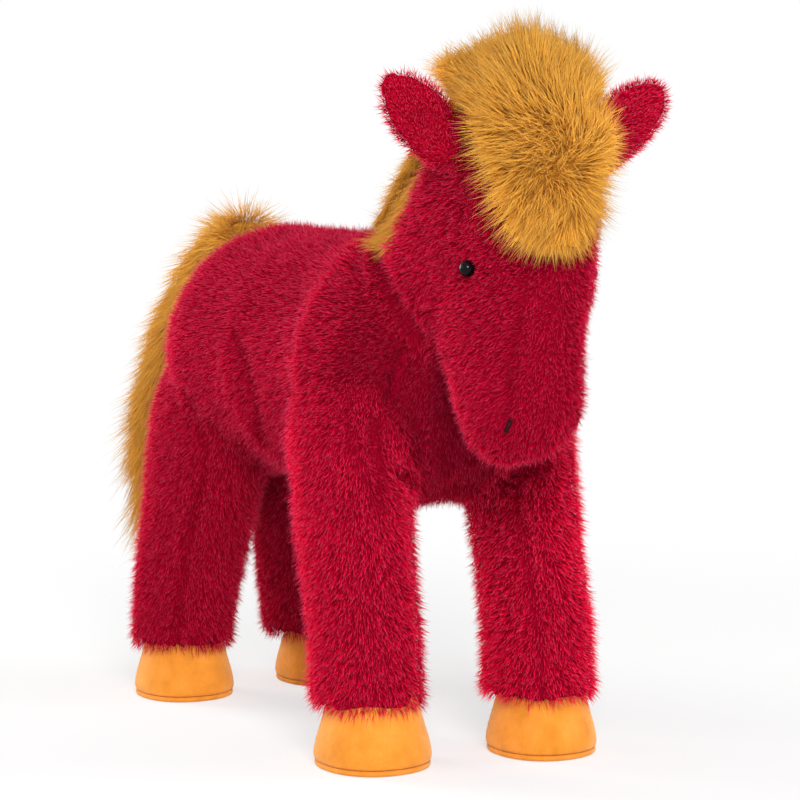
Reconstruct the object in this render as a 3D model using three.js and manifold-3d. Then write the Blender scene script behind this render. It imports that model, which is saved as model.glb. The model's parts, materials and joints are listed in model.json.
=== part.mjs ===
// A standing plush horse: pile fabric skins over soft fillings, velour hooves with weighted pouches,
// bead eyes, a long-pile forelock and neck mane, and a long-pile tail. Millimetres, +Z up. The horse
// faces -Y, so its right side is -X. The origin is under the middle of the whole horse, on the floor.

import * as THREE from 'three';
import { mergeVertices } from 'three/addons/utils/BufferGeometryUtils.js';
import Module from 'manifold-3d';

const wasm = await Module();
wasm.setup();

// Fits
const GAP = 0.3;
const SKIN = 4;
const VELOUR = 2;
const OVERRUN = 5;

// Torso
const TORSO_LENGTH = 300;
const TORSO_WIDTH = 150;
const TORSO_HEIGHT = 152;
const TORSO_MIDDLE_HEIGHT = 207;
const TORSO_BACK = 150;

// Neck
const NECK_WIDTH = 96;
const NECK_DEPTH = 112;
const NECK_BASE_FORWARD = 62;
const NECK_BASE_HEIGHT = 206;

// Head
const HEAD_LENGTH = 196;
const HEAD_WIDTH = 86;
const HEAD_DEPTH = 98;
const HEAD_FORWARD = 178;
const HEAD_HEIGHT = 325;
const HEAD_TURN = 8;
const HEAD_ASIDE = 6;
const HEAD_TILT = 1.5;
const HEAD_LEAN = 13;

// Legs and hooves
const LEG_SPREAD = 47;
const FRONT_LEG_WIDTH = 64;
const FRONT_LEG_DEPTH = 70;
const HIND_LEG_WIDTH = 67;
const HIND_LEG_DEPTH = 82;
const LEG_TOP_HEIGHT = 232;
const FRONT_LEG_TOP_FORWARD = 84;
const HIND_LEG_TOP_BACK = 86;
const FRONT_LEG_TOP_SPREAD = 50;
const HIND_LEG_TOP_SPREAD = 37;
const FRONT_RIGHT_STEP = 105;
const FRONT_LEFT_STEP = 127;
const HIND_RIGHT_STEP = 119;
const HIND_LEFT_STEP = 116;
const HOOF_HEIGHT = 34;
const HOOF_FLARE = 3.8;
const HOOF_COLLAR = 7;
const SOLE_THICKNESS = 3;

// Ears
const EAR_LENGTH = 61;
const EAR_WIDTH = 35;
const EAR_THICKNESS = 15;
const EAR_SUNK = 4;
const EAR_SPLAY = 44;
const EAR_SWING = 20;
const EAR_ROOM_FLARE = 0.3;
const EAR_CLEARANCE = 0.5;
const EAR_DOWN_SHARE = 0.19;
const EAR_TURN_SHARE = 0.43;

// Forelock, neck mane and tail
const FORELOCK_WIDTH = 95;
const FORELOCK_THICKNESS = 48;
const FORELOCK_ASIDE = 9;
const MANE_WIDTH = 34;
const MANE_THICKNESS = 44;
const MANE_WITHERS_FORWARD = 42;
const MANE_WITHERS_HEIGHT = 266;
const MANE_POLL_BACK = 8;
const MANE_POLL_RISE = 24;
const TAIL_WIDTH = 60;
const TAIL_THICKNESS = 55;
const TAIL_LENGTH = 230;
const TAIL_ROOT_BACK = 100;
const TAIL_ROOT_HEIGHT = 284;
const TAIL_LIFT = 40;
const TAIL_DROP = 5;
const TAIL_HINGE_SHARE = 0.06;
const TAIL_CLEARANCE = 3.2;
const TAIL_CORE_WIDTH = 22;
const TAIL_CORE_THICKNESS = 6;
const TAIL_CORE_REACH_SHARE = 0.85;

// Eyes and nostrils
const EYE_DIAMETER = 8.4;
const EYE_SUNK = 1.4;
const EYE_SHANK_DIAMETER = 3.2;
const EYE_SHANK_LENGTH = 13;
const WASHER_DIAMETER = 11;
const WASHER_THICKNESS = 1.6;
const WASHER_CLEARANCE = 1;
const NOSTRIL_LENGTH = 8;
const NOSTRIL_THICKNESS = 2;
const NOSTRIL_SLANT = 24;
const EYE_DOWN_SHARE = 0.471;
const EYE_TURN_SHARE = 0.35;
const NOSTRIL_DOWN_SHARE = 0.85;
const NOSTRIL_TURN_SHARE = 0.25;
const FACE_ANGLE = -Math.PI / 2;

// Facets: corners round each kind of form, and rings along it
const BODY_SEGMENTS = 22;
const HEAD_SEGMENTS = 20;
const NECK_SEGMENTS = 18;
const LIMB_SEGMENTS = 14;
const TRIM_SEGMENTS = 12;
const ROOM_SEGMENTS = 10;
const STITCH_SEGMENTS = 8;
const BODY_RINGS = 12;
const NECK_RINGS = 9;
const LIMB_RINGS = 8;
const EAR_RINGS = 7;
const HAIR_RINGS = 10;
const ROOM_RINGS = 6;
const HOOF_RINGS = 3;
const SOLE_RINGS = 2;
const STITCH_RINGS = 2;

// Each row of a shares table is one station along a form, evenly spaced: where its centre lies,
// in shares of the form's length and height or reach, and its width and depth in shares of the
// form's own width and depth.
const torsoShares = [
  [0.0, 0.04, 0.86, 0.9],
  [0.2, 0.04, 1.04, 1.02],
  [0.4, 0.035, 1.01, 0.98],
  [0.6, 0.01, 0.99, 0.98],
  [0.8, 0.0, 1.02, 1.04],
  [1.0, 0.0, 0.9, 0.92],
];
const neckShares = [
  [0.0, 0.0, 1.12, 1.1],
  [0.33, 0.3, 1.1, 1.08],
  [0.66, 0.68, 0.98, 0.92],
  [1.0, 1.0, 0.86, 0.82],
];
const headShares = [
  [-0.12, 0.14, 0.82, 0.9],
  [-0.13, -0.06, 0.94, 1.3],
  [-0.17, -0.26, 0.98, 1.6],
  [-0.06, -0.46, 0.86, 1.24],
  [0.06, -0.66, 0.72, 0.76],
  [0.07, -0.86, 0.68, 0.68],
];
const frontLegShares = [
  [0.0, 0.0, 0.95, 0.92],
  [0.2, 0.12, 0.99, 0.98],
  [0.4, 0.4, 1.0, 1.0],
  [0.6, 0.66, 1.02, 1.1],
  [0.8, 0.86, 1.0, 1.24],
  [1.0, 1.0, 0.86, 1.2],
];
const hindLegShares = [
  [0.0, 0.0, 0.88, 0.78],
  [0.2, 0.12, 1.0, 0.92],
  [0.4, 0.4, 1.03, 1.04],
  [0.6, 0.66, 1.04, 1.24],
  [0.8, 0.86, 0.98, 1.44],
  [1.0, 1.0, 0.84, 1.36],
];
const earShares = [
  [0.0, 0.62, 1.0],
  [0.25, 0.9, 1.0],
  [0.5, 1.04, 0.92],
  [0.75, 0.98, 0.8],
  [1.0, 0.8, 0.6],
];
const forelockShares = [
  [-0.86, 0.3, 0.84, 0.8],
  [-0.2, 0.64, 1.0, 1.0],
  [0.5, 0.42, 0.98, 1.0],
  [0.9, -0.3, 0.84, 0.9],
  [0.98, -1.36, 0.7, 0.62],
];
const maneShares = [
  [0.0, 0.0, 0.72, 0.6],
  [0.25, 0.42, 0.9, 0.86],
  [0.5, 0.7, 1.0, 1.0],
  [0.75, 0.9, 1.0, 1.0],
  [1.0, 1.0, 0.9, 0.8],
];
const tailShares = [
  [0.0, 0.0, 0.5, 0.5],
  [0.15, -0.03, 0.78, 0.76],
  [0.32, -0.19, 1.0, 1.0],
  [0.46, -0.42, 1.06, 1.06],
  [0.56, -0.65, 1.02, 1.0],
  [0.62, -0.92, 0.8, 0.76],
];

// How much of its form each rounded end takes up.
const torsoRoundShares = { roundStart: 0.26, roundEnd: 0.24 };
const neckRoundShares = { roundStart: 0.3, roundEnd: 0.3 };
const headRoundShares = { roundStart: 0.2, roundEnd: 0.2 };
const legRoundShares = { roundEnd: 0.34 };
const earTipRoundShare = 0.5;
const forelockRoundShares = { roundStart: 0.3, roundEnd: 0.3 };
const maneRoundShares = { roundStart: 0.2, roundEnd: 0.2 };
const tailRoundShares = { roundStart: 0.12, roundEnd: 0.3 };

// A hoof's levels in shares of its height, and its flare there in shares of the full flare.
const hoofLevelShares = [0, 0.3, 0.65, 1];
const hoofFlareShares = [0.8, 1, 0.5, 0];

// The step along and round a form over which its slope is taken.
const SLOPE_SHARE = 0.01;

const X_AXIS = new THREE.Vector3(1, 0, 0);
const UPWARD = new THREE.Vector3(0, 0, 1);
const DOWNWARD = new THREE.Vector3(0, 0, -1);

// A closed soft form swept along a spine, with an elliptical section at each station. `places` are
// the spine points, `widths` and `depths` the full sizes there. A round share says how much of the
// form each rounded end takes up; a share of zero leaves that end flat. The sections stand square to
// the spine, or all face one way where `facing` is given.
class SoftForm {
  constructor({ places, widths, depths, facing = null, segments, rings, roundStart = 0, roundEnd = 0 }) {
    this.spine = new THREE.CatmullRomCurve3(places);
    this.sizes = new THREE.CatmullRomCurve3(
      widths.map((width, index) => new THREE.Vector3(width / 2, depths[index] / 2, 0)),
    );
    this.facing = facing;
    this.segments = segments;
    this.rings = rings;
    this.roundStart = roundStart;
    this.roundEnd = roundEnd;
  }

  ringPlace(share) {
    if (this.roundStart && this.roundEnd) return (1 - Math.cos(Math.PI * share)) / 2;
    if (this.roundEnd) return Math.sin((Math.PI * share) / 2);
    if (this.roundStart) return 1 - Math.cos((Math.PI * share) / 2);
    return share;
  }

  roundness(along) {
    let factor = 1;
    if (along < this.roundStart) {
      factor *= Math.sqrt(Math.max(0, 1 - (1 - along / this.roundStart) ** 2));
    }
    if (1 - along < this.roundEnd) {
      factor *= Math.sqrt(Math.max(0, 1 - (1 - (1 - along) / this.roundEnd) ** 2));
    }
    return factor;
  }

  section(along) {
    const tangent = this.facing ? this.facing.clone() : this.spine.getTangent(along);
    const deepways = new THREE.Vector3().crossVectors(X_AXIS, tangent).normalize();
    const size = this.sizes.getPoint(along).multiplyScalar(this.roundness(along));
    return { centre: this.spine.getPoint(along), tangent, deepways, halfWidth: size.x, halfDepth: size.y };
  }

  pointAt(along, angle) {
    const { centre, deepways, halfWidth, halfDepth } = this.section(along);
    return centre
      .addScaledVector(X_AXIS, halfWidth * Math.cos(angle))
      .addScaledVector(deepways, halfDepth * Math.sin(angle));
  }

  normalAt(along, angle) {
    const ahead = this.pointAt(along + SLOPE_SHARE, angle);
    const lengthways = ahead.sub(this.pointAt(along - SLOPE_SHARE, angle));
    const aside = this.pointAt(along, angle + SLOPE_SHARE);
    const around = aside.sub(this.pointAt(along, angle - SLOPE_SHARE));
    const normal = new THREE.Vector3().crossVectors(around, lengthways).normalize();
    const outward = this.pointAt(along, angle).sub(this.section(along).centre);
    return normal.dot(outward) < 0 ? normal.negate() : normal;
  }

  geometry() {
    const positions = [];
    const faces = [];
    const firstRing = this.roundStart ? 1 : 0;
    const lastRing = this.roundEnd ? this.rings - 1 : this.rings;
    for (let ring = firstRing; ring <= lastRing; ring += 1) {
      const along = this.ringPlace(ring / this.rings);
      for (let turn = 0; turn < this.segments; turn += 1) {
        positions.push(...this.pointAt(along, (2 * Math.PI * turn) / this.segments).toArray());
      }
    }
    const ringCount = lastRing - firstRing + 1;
    for (let ring = 0; ring < ringCount - 1; ring += 1) {
      for (let turn = 0; turn < this.segments; turn += 1) {
        const next = (turn + 1) % this.segments;
        const a = ring * this.segments + turn;
        const b = ring * this.segments + next;
        const c = a + this.segments;
        const d = b + this.segments;
        faces.push(a, b, d, a, d, c);
      }
    }
    const start = positions.length / 3;
    positions.push(...this.spine.getPoint(0).toArray(), ...this.spine.getPoint(1).toArray());
    const lastRow = (ringCount - 1) * this.segments;
    for (let turn = 0; turn < this.segments; turn += 1) {
      const next = (turn + 1) % this.segments;
      faces.push(start, next, turn, start + 1, lastRow + turn, lastRow + next);
    }
    const surface = new THREE.BufferGeometry();
    surface.setAttribute('position', new THREE.Float32BufferAttribute(positions, 3));
    surface.setIndex(faces);
    return facingOut(surface);
  }
}

// Turns a closed surface's faces outward when its signed volume is negative.
function facingOut(surface) {
  const place = surface.getAttribute('position');
  const index = surface.getIndex();
  const corner = [new THREE.Vector3(), new THREE.Vector3(), new THREE.Vector3()];
  let volume = 0;
  for (let face = 0; face < index.count; face += 3) {
    corner.forEach((point, side) => point.fromBufferAttribute(place, index.getX(face + side)));
    volume += corner[0].dot(corner[1].clone().cross(corner[2]));
  }
  if (volume < 0) {
    for (let face = 0; face < index.count; face += 3) {
      const second = index.getX(face + 1);
      index.setX(face + 1, index.getX(face + 2));
      index.setX(face + 2, second);
    }
  }
  return surface;
}

// A copy of a surface with its shared points made one, so that it closes.
function merged(surface) {
  const bare = surface.clone();
  bare.deleteAttribute('normal');
  bare.deleteAttribute('uv');
  return mergeVertices(bare);
}

// The same surface moved outward along its normals, or inward where the distance is negative.
function grown(surface, distance) {
  const moved = merged(surface);
  moved.computeVertexNormals();
  const place = moved.getAttribute('position');
  const normal = moved.getAttribute('normal');
  for (let point = 0; point < place.count; point += 1) {
    place.setXYZ(
      point,
      place.getX(point) + distance * normal.getX(point),
      place.getY(point) + distance * normal.getY(point),
      place.getZ(point) + distance * normal.getZ(point),
    );
  }
  moved.deleteAttribute('normal');
  return moved;
}

function solidOf(surface) {
  const closed = merged(surface);
  const vertProperties = new Float32Array(closed.getAttribute('position').array);
  const triVerts = new Uint32Array(closed.getIndex().array);
  return new wasm.Manifold(new wasm.Mesh({ numProp: 3, vertProperties, triVerts }));
}

// The room that the tail's root takes up in the rump when it lifts or drops to either limit.
function tailRootRoom() {
  const form = tailForm(TAIL_WIDTH, TAIL_THICKNESS, { segments: ROOM_SEGMENTS, rings: ROOM_RINGS });
  const root = grown(form.geometry(), TAIL_CLEARANCE);
  const hinge = tailHinge();
  return [-TAIL_DROP, 0, TAIL_LIFT]
    .map((swing) => {
      const turn = new THREE.Matrix4()
        .makeTranslation(hinge.x, hinge.y, hinge.z)
        .multiply(new THREE.Matrix4().makeRotationX(THREE.MathUtils.degToRad(swing)))
        .multiply(new THREE.Matrix4().makeTranslation(-hinge.x, -hinge.y, -hinge.z));
      return solidOf(placed(root, turn));
    })
    .reduce((room, next) => room.add(next));
}

function tailHinge() {
  return tailForm(TAIL_WIDTH, TAIL_THICKNESS).spine.getPoint(TAIL_HINGE_SHARE);
}

// The largest body of a solid, as a three.js surface.
function surfaceOf(solid) {
  const bodies = solid.decompose();
  const largest = bodies.reduce((best, body) => (body.volume() > best.volume() ? body : best));
  const { vertProperties, triVerts } = largest.getMesh();
  const surface = new THREE.BufferGeometry();
  surface.setAttribute('position', new THREE.Float32BufferAttribute(vertProperties, 3));
  surface.setIndex(Array.from(triVerts));
  surface.computeVertexNormals();
  return surface;
}

function cut(solid, ...tools) {
  return tools.reduce((left, tool) => left.subtract(tool), solid);
}

const finishes = {
  pile: { color: 0xa5002d, roughness: 0.95, metalness: 0 },
  goldPile: { color: 0xd99a33, roughness: 0.9, metalness: 0 },
  velour: { color: 0xf5a52a, roughness: 0.9, metalness: 0 },
  wadding: { color: 0xf2efe8, roughness: 1, metalness: 0 },
  calico: { color: 0xe6dcc4, roughness: 1, metalness: 0 },
  bead: { color: 0x0a0a0c, roughness: 0.08, metalness: 0 },
  washer: { color: 0xdcdcd8, roughness: 0.5, metalness: 0 },
  thread: { color: 0x14080c, roughness: 0.8, metalness: 0 },
};

function piece(name, surface, finish) {
  const mesh = new THREE.Mesh(surface, new THREE.MeshStandardMaterial(finishes[finish]));
  mesh.name = name;
  return mesh;
}

function torsoForm() {
  return new SoftForm({
    places: torsoShares.map(([along, rise]) => new THREE.Vector3(
      0,
      TORSO_BACK - along * TORSO_LENGTH,
      TORSO_MIDDLE_HEIGHT + rise * TORSO_HEIGHT,
    )),
    widths: torsoShares.map((row) => row[2] * TORSO_WIDTH),
    depths: torsoShares.map((row) => row[3] * TORSO_HEIGHT),
    segments: BODY_SEGMENTS,
    rings: BODY_RINGS,
    ...torsoRoundShares,
  });
}

function neckForm() {
  const forward = HEAD_FORWARD - NECK_BASE_FORWARD;
  const rise = HEAD_HEIGHT - NECK_BASE_HEIGHT;
  return new SoftForm({
    places: neckShares.map(([ahead, up]) => new THREE.Vector3(
      0,
      -NECK_BASE_FORWARD - ahead * forward,
      NECK_BASE_HEIGHT + up * rise,
    )),
    widths: neckShares.map((row) => row[2] * NECK_WIDTH),
    depths: neckShares.map((row) => row[3] * NECK_DEPTH),
    segments: NECK_SEGMENTS,
    rings: NECK_RINGS,
    ...neckRoundShares,
  });
}

// The head is drawn hanging from the point between the ears, then turned and tilted there.
function headPlacement() {
  const tilt = new THREE.Matrix4().makeRotationY(THREE.MathUtils.degToRad(HEAD_TILT));
  const turn = new THREE.Matrix4().makeRotationZ(-THREE.MathUtils.degToRad(HEAD_TURN));
  return new THREE.Matrix4()
    .makeTranslation(HEAD_ASIDE, -HEAD_FORWARD, HEAD_HEIGHT)
    .multiply(turn)
    .multiply(tilt);
}

function headForm() {
  return new SoftForm({
    places: headShares.map(([ahead, up]) => new THREE.Vector3(
      Math.min(0, up) * HEAD_LEAN,
      -ahead * HEAD_LENGTH,
      up * HEAD_LENGTH,
    )),
    widths: headShares.map((row) => row[2] * HEAD_WIDTH),
    depths: headShares.map((row) => row[3] * HEAD_DEPTH),
    facing: DOWNWARD,
    segments: HEAD_SEGMENTS,
    rings: BODY_RINGS,
    ...headRoundShares,
  });
}

const legs = [
  { name: 'front_right', side: -1, step: -FRONT_RIGHT_STEP, front: true },
  { name: 'front_left', side: 1, step: -FRONT_LEFT_STEP, front: true },
  { name: 'hind_right', side: -1, step: HIND_RIGHT_STEP, front: false },
  { name: 'hind_left', side: 1, step: HIND_LEFT_STEP, front: false },
];

function legForm({ side, step, front }) {
  const shares = front ? frontLegShares : hindLegShares;
  const width = front ? FRONT_LEG_WIDTH : HIND_LEG_WIDTH;
  const depth = front ? FRONT_LEG_DEPTH : HIND_LEG_DEPTH;
  const topPlace = front ? -FRONT_LEG_TOP_FORWARD : HIND_LEG_TOP_BACK;
  const topSpread = front ? FRONT_LEG_TOP_SPREAD : HIND_LEG_TOP_SPREAD;
  const foot = HOOF_HEIGHT - OVERRUN;
  return new SoftForm({
    places: shares.map(([up, lean]) => new THREE.Vector3(
      side * THREE.MathUtils.lerp(LEG_SPREAD, topSpread, lean),
      THREE.MathUtils.lerp(step, topPlace, lean),
      THREE.MathUtils.lerp(foot, LEG_TOP_HEIGHT, up),
    )),
    widths: shares.map((row) => row[2] * width),
    depths: shares.map((row) => row[3] * depth),
    facing: UPWARD,
    segments: LIMB_SEGMENTS,
    rings: LIMB_RINGS,
    ...legRoundShares,
  });
}

// A hoof's parts share one outline: it follows the foot of its leg and flares down to the sole.
function hoofSection(leg, inset, flare) {
  const row = (leg.front ? frontLegShares : hindLegShares)[0];
  const width = row[2] * (leg.front ? FRONT_LEG_WIDTH : HIND_LEG_WIDTH);
  const depth = row[3] * (leg.front ? FRONT_LEG_DEPTH : HIND_LEG_DEPTH);
  return { width: width - 2 * inset + 2 * flare, depth: depth - 2 * inset + 2 * flare };
}

// How far a leg has leaned from straight above its hoof at a height.
function legLean(leg, height) {
  const { spine } = legForm(leg);
  const foot = spine.getPoint(0);
  const along = Math.max(0, (height - foot.z) / (spine.getPoint(1).z - foot.z));
  return spine.getPoint(along).sub(foot).setZ(0);
}

function hoofForm(leg, inset, bottom, top) {
  const seam = HOOF_HEIGHT + GAP;
  const sections = hoofLevelShares.map((up, index) => {
    const height = THREE.MathUtils.lerp(bottom, top, up);
    const flare = height < seam ? HOOF_FLARE * hoofFlareShares[index] : 0;
    return { height, ...hoofSection(leg, inset, flare) };
  });
  return new SoftForm({
    places: sections.map(({ height }) => legLean(leg, height).setZ(height)),
    widths: sections.map(({ width }) => width),
    depths: sections.map(({ depth }) => depth),
    facing: UPWARD,
    segments: LIMB_SEGMENTS,
    rings: HOOF_RINGS,
  });
}

// A hoof's inside drawn out past both of its flat ends, so that it cuts cleanly through them.
function stretched(surface) {
  surface.computeBoundingBox();
  const { min, max } = surface.boundingBox;
  const place = surface.getAttribute('position');
  for (let point = 0; point < place.count; point += 1) {
    if (place.getZ(point) === min.z) place.setZ(point, min.z - OVERRUN);
    if (place.getZ(point) === max.z) place.setZ(point, max.z + OVERRUN);
  }
  return surface;
}

function hoofParts(leg) {
  const collarInset = SKIN + 2 * GAP;
  const top = HOOF_HEIGHT + HOOF_COLLAR;
  const upperBottom = SOLE_THICKNESS + GAP;
  const upperOuter = hoofForm(leg, collarInset, upperBottom, top);
  const upperInner = hoofForm(leg, collarInset + VELOUR, upperBottom, top);
  const pouch = hoofForm(leg, collarInset + VELOUR + GAP, upperBottom, top);
  const soleSection = hoofSection(leg, collarInset, HOOF_FLARE);
  const sole = new SoftForm({
    places: [0, 1].map((up) => new THREE.Vector3(0, 0, up * SOLE_THICKNESS)),
    widths: [soleSection.width - VELOUR, soleSection.width],
    depths: [soleSection.depth - VELOUR, soleSection.depth],
    segments: LIMB_SEGMENTS,
    rings: SOLE_RINGS,
  });
  return {
    upper: surfaceOf(cut(solidOf(upperOuter.geometry()), solidOf(stretched(upperInner.geometry())))),
    pouch: pouch.geometry(),
    sole: sole.geometry(),
  };
}

const sides = [
  { name: 'right', side: -1 },
  { name: 'left', side: 1 },
];

// An ear stands on its hinge line: +Z runs to the tip, X across, and the front faces -Y.
function earForm() {
  const base = -EAR_THICKNESS / 2;
  return new SoftForm({
    places: earShares.map(([up]) => new THREE.Vector3(0, 0, base + up * EAR_LENGTH)),
    widths: earShares.map((row) => row[1] * EAR_WIDTH),
    depths: earShares.map((row) => row[2] * EAR_THICKNESS),
    segments: TRIM_SEGMENTS,
    rings: EAR_RINGS,
    roundStart: EAR_THICKNESS / 2 / EAR_LENGTH,
    roundEnd: earTipRoundShare,
  });
}

function earPlacement(side) {
  const splay = side * THREE.MathUtils.degToRad(EAR_SPLAY);
  const root = headForm().pointAt(EAR_DOWN_SHARE, FACE_ANGLE + side * EAR_TURN_SHARE * Math.PI);
  const outward = new THREE.Vector3(Math.sin(splay), 0, Math.cos(splay));
  root.addScaledVector(outward, EAR_THICKNESS / 2 - EAR_SUNK);
  return headPlacement()
    .multiply(new THREE.Matrix4().makeTranslation(root.x, root.y, root.z))
    .multiply(new THREE.Matrix4().makeRotationY(splay));
}

// The room an ear needs when it folds to either limit: it grows deeper and wider from the hinge line
// to the tip.
function earRoom(side) {
  const base = -EAR_THICKNESS / 2;
  const spread = Math.tan(THREE.MathUtils.degToRad(EAR_SWING));
  const room = new SoftForm({
    places: earShares.map(([up]) => new THREE.Vector3(0, 0, base + up * EAR_LENGTH)),
    widths: earShares.map(([up, wide]) => wide * EAR_WIDTH * (1 + up * EAR_ROOM_FLARE) + 2 * EAR_CLEARANCE),
    depths: earShares.map(([up]) => EAR_THICKNESS + 2 * (EAR_CLEARANCE + up * EAR_LENGTH * spread)),
    segments: ROOM_SEGMENTS,
    rings: ROOM_RINGS,
    roundStart: EAR_THICKNESS / 2 / EAR_LENGTH,
  });
  const outer = grown(room.geometry(), EAR_CLEARANCE);
  return solidOf(placed(outer, earPlacement(side)));
}

function earPanel(isFront) {
  const half = new THREE.BoxGeometry(2 * EAR_WIDTH, EAR_THICKNESS, 3 * EAR_LENGTH);
  const shift = (EAR_THICKNESS + GAP) / 2;
  half.translate(0, isFront ? -shift : shift, 0);
  return surfaceOf(solidOf(earForm().geometry()).intersect(solidOf(half)));
}

function forelockForm() {
  return new SoftForm({
    places: forelockShares.map(([ahead, up]) => new THREE.Vector3(
      -FORELOCK_ASIDE,
      -ahead * FORELOCK_THICKNESS,
      up * FORELOCK_THICKNESS,
    )),
    widths: forelockShares.map((row) => row[2] * FORELOCK_WIDTH),
    depths: forelockShares.map((row) => row[3] * FORELOCK_THICKNESS),
    segments: NECK_SEGMENTS,
    rings: HAIR_RINGS,
    ...forelockRoundShares,
  });
}

function maneForm() {
  const withers = new THREE.Vector3(0, -MANE_WITHERS_FORWARD, MANE_WITHERS_HEIGHT);
  const forward = HEAD_FORWARD - MANE_WITHERS_FORWARD - MANE_POLL_BACK;
  const rise = HEAD_HEIGHT - MANE_WITHERS_HEIGHT + MANE_POLL_RISE;
  return new SoftForm({
    places: maneShares.map(([ahead, up]) => new THREE.Vector3(
      0,
      withers.y - ahead * forward,
      withers.z + up * rise,
    )),
    widths: maneShares.map((row) => row[2] * MANE_WIDTH),
    depths: maneShares.map((row) => row[3] * MANE_THICKNESS),
    segments: TRIM_SEGMENTS,
    rings: HAIR_RINGS,
    ...maneRoundShares,
  });
}

// The tail, or the strip inside it: a reach under one stops short of the tip of the tail.
function tailForm(width, thickness, { reach = 1, segments = TRIM_SEGMENTS, rings = HAIR_RINGS } = {}) {
  const path = new THREE.CatmullRomCurve3(tailShares.map(([back, up]) => new THREE.Vector3(
    0,
    TAIL_ROOT_BACK + back * TAIL_LENGTH,
    TAIL_ROOT_HEIGHT + up * TAIL_LENGTH,
  )));
  return new SoftForm({
    places: tailShares.map((row, index) => path.getPoint((reach * index) / (tailShares.length - 1))),
    widths: tailShares.map((row) => row[2] * width),
    depths: tailShares.map((row) => row[3] * thickness),
    segments,
    rings,
    ...tailRoundShares,
  });
}

// A bead on a shank, with +Z pointing out of the face, and the washer that holds it from behind.
function eyeBead() {
  const ball = new THREE.SphereGeometry(EYE_DIAMETER / 2, TRIM_SEGMENTS, TRIM_SEGMENTS / 2);
  const behind = new THREE.BoxGeometry(2 * EYE_DIAMETER, 2 * EYE_DIAMETER, EYE_DIAMETER);
  behind.translate(0, 0, -EYE_SUNK - EYE_DIAMETER / 2);
  const dome = cut(solidOf(ball), solidOf(behind));
  const shank = new THREE.CylinderGeometry(
    EYE_SHANK_DIAMETER / 2,
    EYE_SHANK_DIAMETER / 2,
    EYE_SHANK_LENGTH,
    TRIM_SEGMENTS,
  );
  shank.rotateX(Math.PI / 2);
  shank.translate(0, 0, -EYE_SHANK_LENGTH / 2);
  return surfaceOf(dome.add(solidOf(shank)));
}

function disc(diameter, thickness) {
  const round = new THREE.CylinderGeometry(diameter / 2, diameter / 2, thickness, TRIM_SEGMENTS);
  return round.rotateX(Math.PI / 2);
}

function eyeWasher() {
  const bore = disc(EYE_SHANK_DIAMETER + 2 * GAP, WASHER_THICKNESS + OVERRUN);
  return surfaceOf(cut(solidOf(disc(WASHER_DIAMETER, WASHER_THICKNESS)), solidOf(bore)));
}

// A placement on the head's surface with +Z pointing straight out and +Y running up the head.
function facePlacement(side, alongShare, turnShare, sunk) {
  const form = headForm();
  const angle = FACE_ANGLE + side * turnShare * Math.PI;
  const out = form.normalAt(alongShare, angle);
  const place = form.pointAt(alongShare, angle).addScaledVector(out, -sunk);
  const up = form.section(alongShare).tangent.clone().negate();
  const across = new THREE.Vector3().crossVectors(up, out).normalize();
  const upright = new THREE.Vector3().crossVectors(out, across);
  const frame = new THREE.Matrix4().makeBasis(across, upright, out).setPosition(place);
  return frame.premultiply(headPlacement());
}

function eyePlacement(side) {
  return facePlacement(side, EYE_DOWN_SHARE, EYE_TURN_SHARE, EYE_SUNK);
}

function washerDepth() {
  return SKIN - EYE_SUNK + WASHER_CLEARANCE + WASHER_THICKNESS / 2;
}

function nostrilStitch() {
  const straight = NOSTRIL_LENGTH - NOSTRIL_THICKNESS;
  return new THREE.CapsuleGeometry(NOSTRIL_THICKNESS / 2, straight, STITCH_RINGS, STITCH_SEGMENTS);
}

function nostrilPlacement(side) {
  const slant = new THREE.Matrix4().makeRotationZ(side * THREE.MathUtils.degToRad(NOSTRIL_SLANT));
  return facePlacement(side, NOSTRIL_DOWN_SHARE, NOSTRIL_TURN_SHARE, NOSTRIL_THICKNESS / 4).multiply(slant);
}

function placed(surface, placement) {
  return surface.clone().applyMatrix4(placement);
}

// Adds a piece that is drawn in its own frame, at its placement.
function addPlaced(parent, name, surface, finish, placement) {
  const mesh = piece(name, surface, finish);
  placement.decompose(mesh.position, mesh.quaternion, mesh.scale);
  parent.add(mesh);
}

const torso = torsoForm().geometry();
const neck = neckForm().geometry();
const head = placed(headForm().geometry(), headPlacement());
const forelock = placed(forelockForm().geometry(), headPlacement());
const legSurfaces = new Map(legs.map((leg) => [leg.name, legForm(leg).geometry()]));
const earRooms = sides.map(({ side }) => earRoom(side));

const horse = new THREE.Group();

// Torso: a skin open at the neck and at each leg, round one filling.
function addTorso() {
  const openings = [neck, ...legSurfaces.values()].map((surface) => solidOf(grown(surface, -SKIN)));
  const skin = cut(solidOf(torso), solidOf(grown(torso, -SKIN)), ...openings, tailRootRoom());
  horse.add(piece('torso_skin', surfaceOf(skin), 'pile'));
  const filling = cut(solidOf(grown(torso, -SKIN - GAP)), tailRootRoom());
  horse.add(piece('torso_filling', surfaceOf(filling), 'wadding'));
}

// Neck: a sleeve between the torso and the head.
function addNeck() {
  const headInside = solidOf(grown(head, -SKIN));
  const skin = cut(
    solidOf(neck),
    solidOf(grown(neck, -SKIN)),
    solidOf(grown(torso, GAP)),
    solidOf(grown(head, GAP)),
    ...earRooms,
  );
  const filling = cut(
    solidOf(grown(neck, -SKIN - GAP)),
    solidOf(grown(torso, -SKIN)),
    headInside,
    ...earRooms,
  );
  horse.add(piece('neck_skin', surfaceOf(skin), 'pile'));
  horse.add(piece('neck_filling', surfaceOf(filling), 'wadding'));
}

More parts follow.
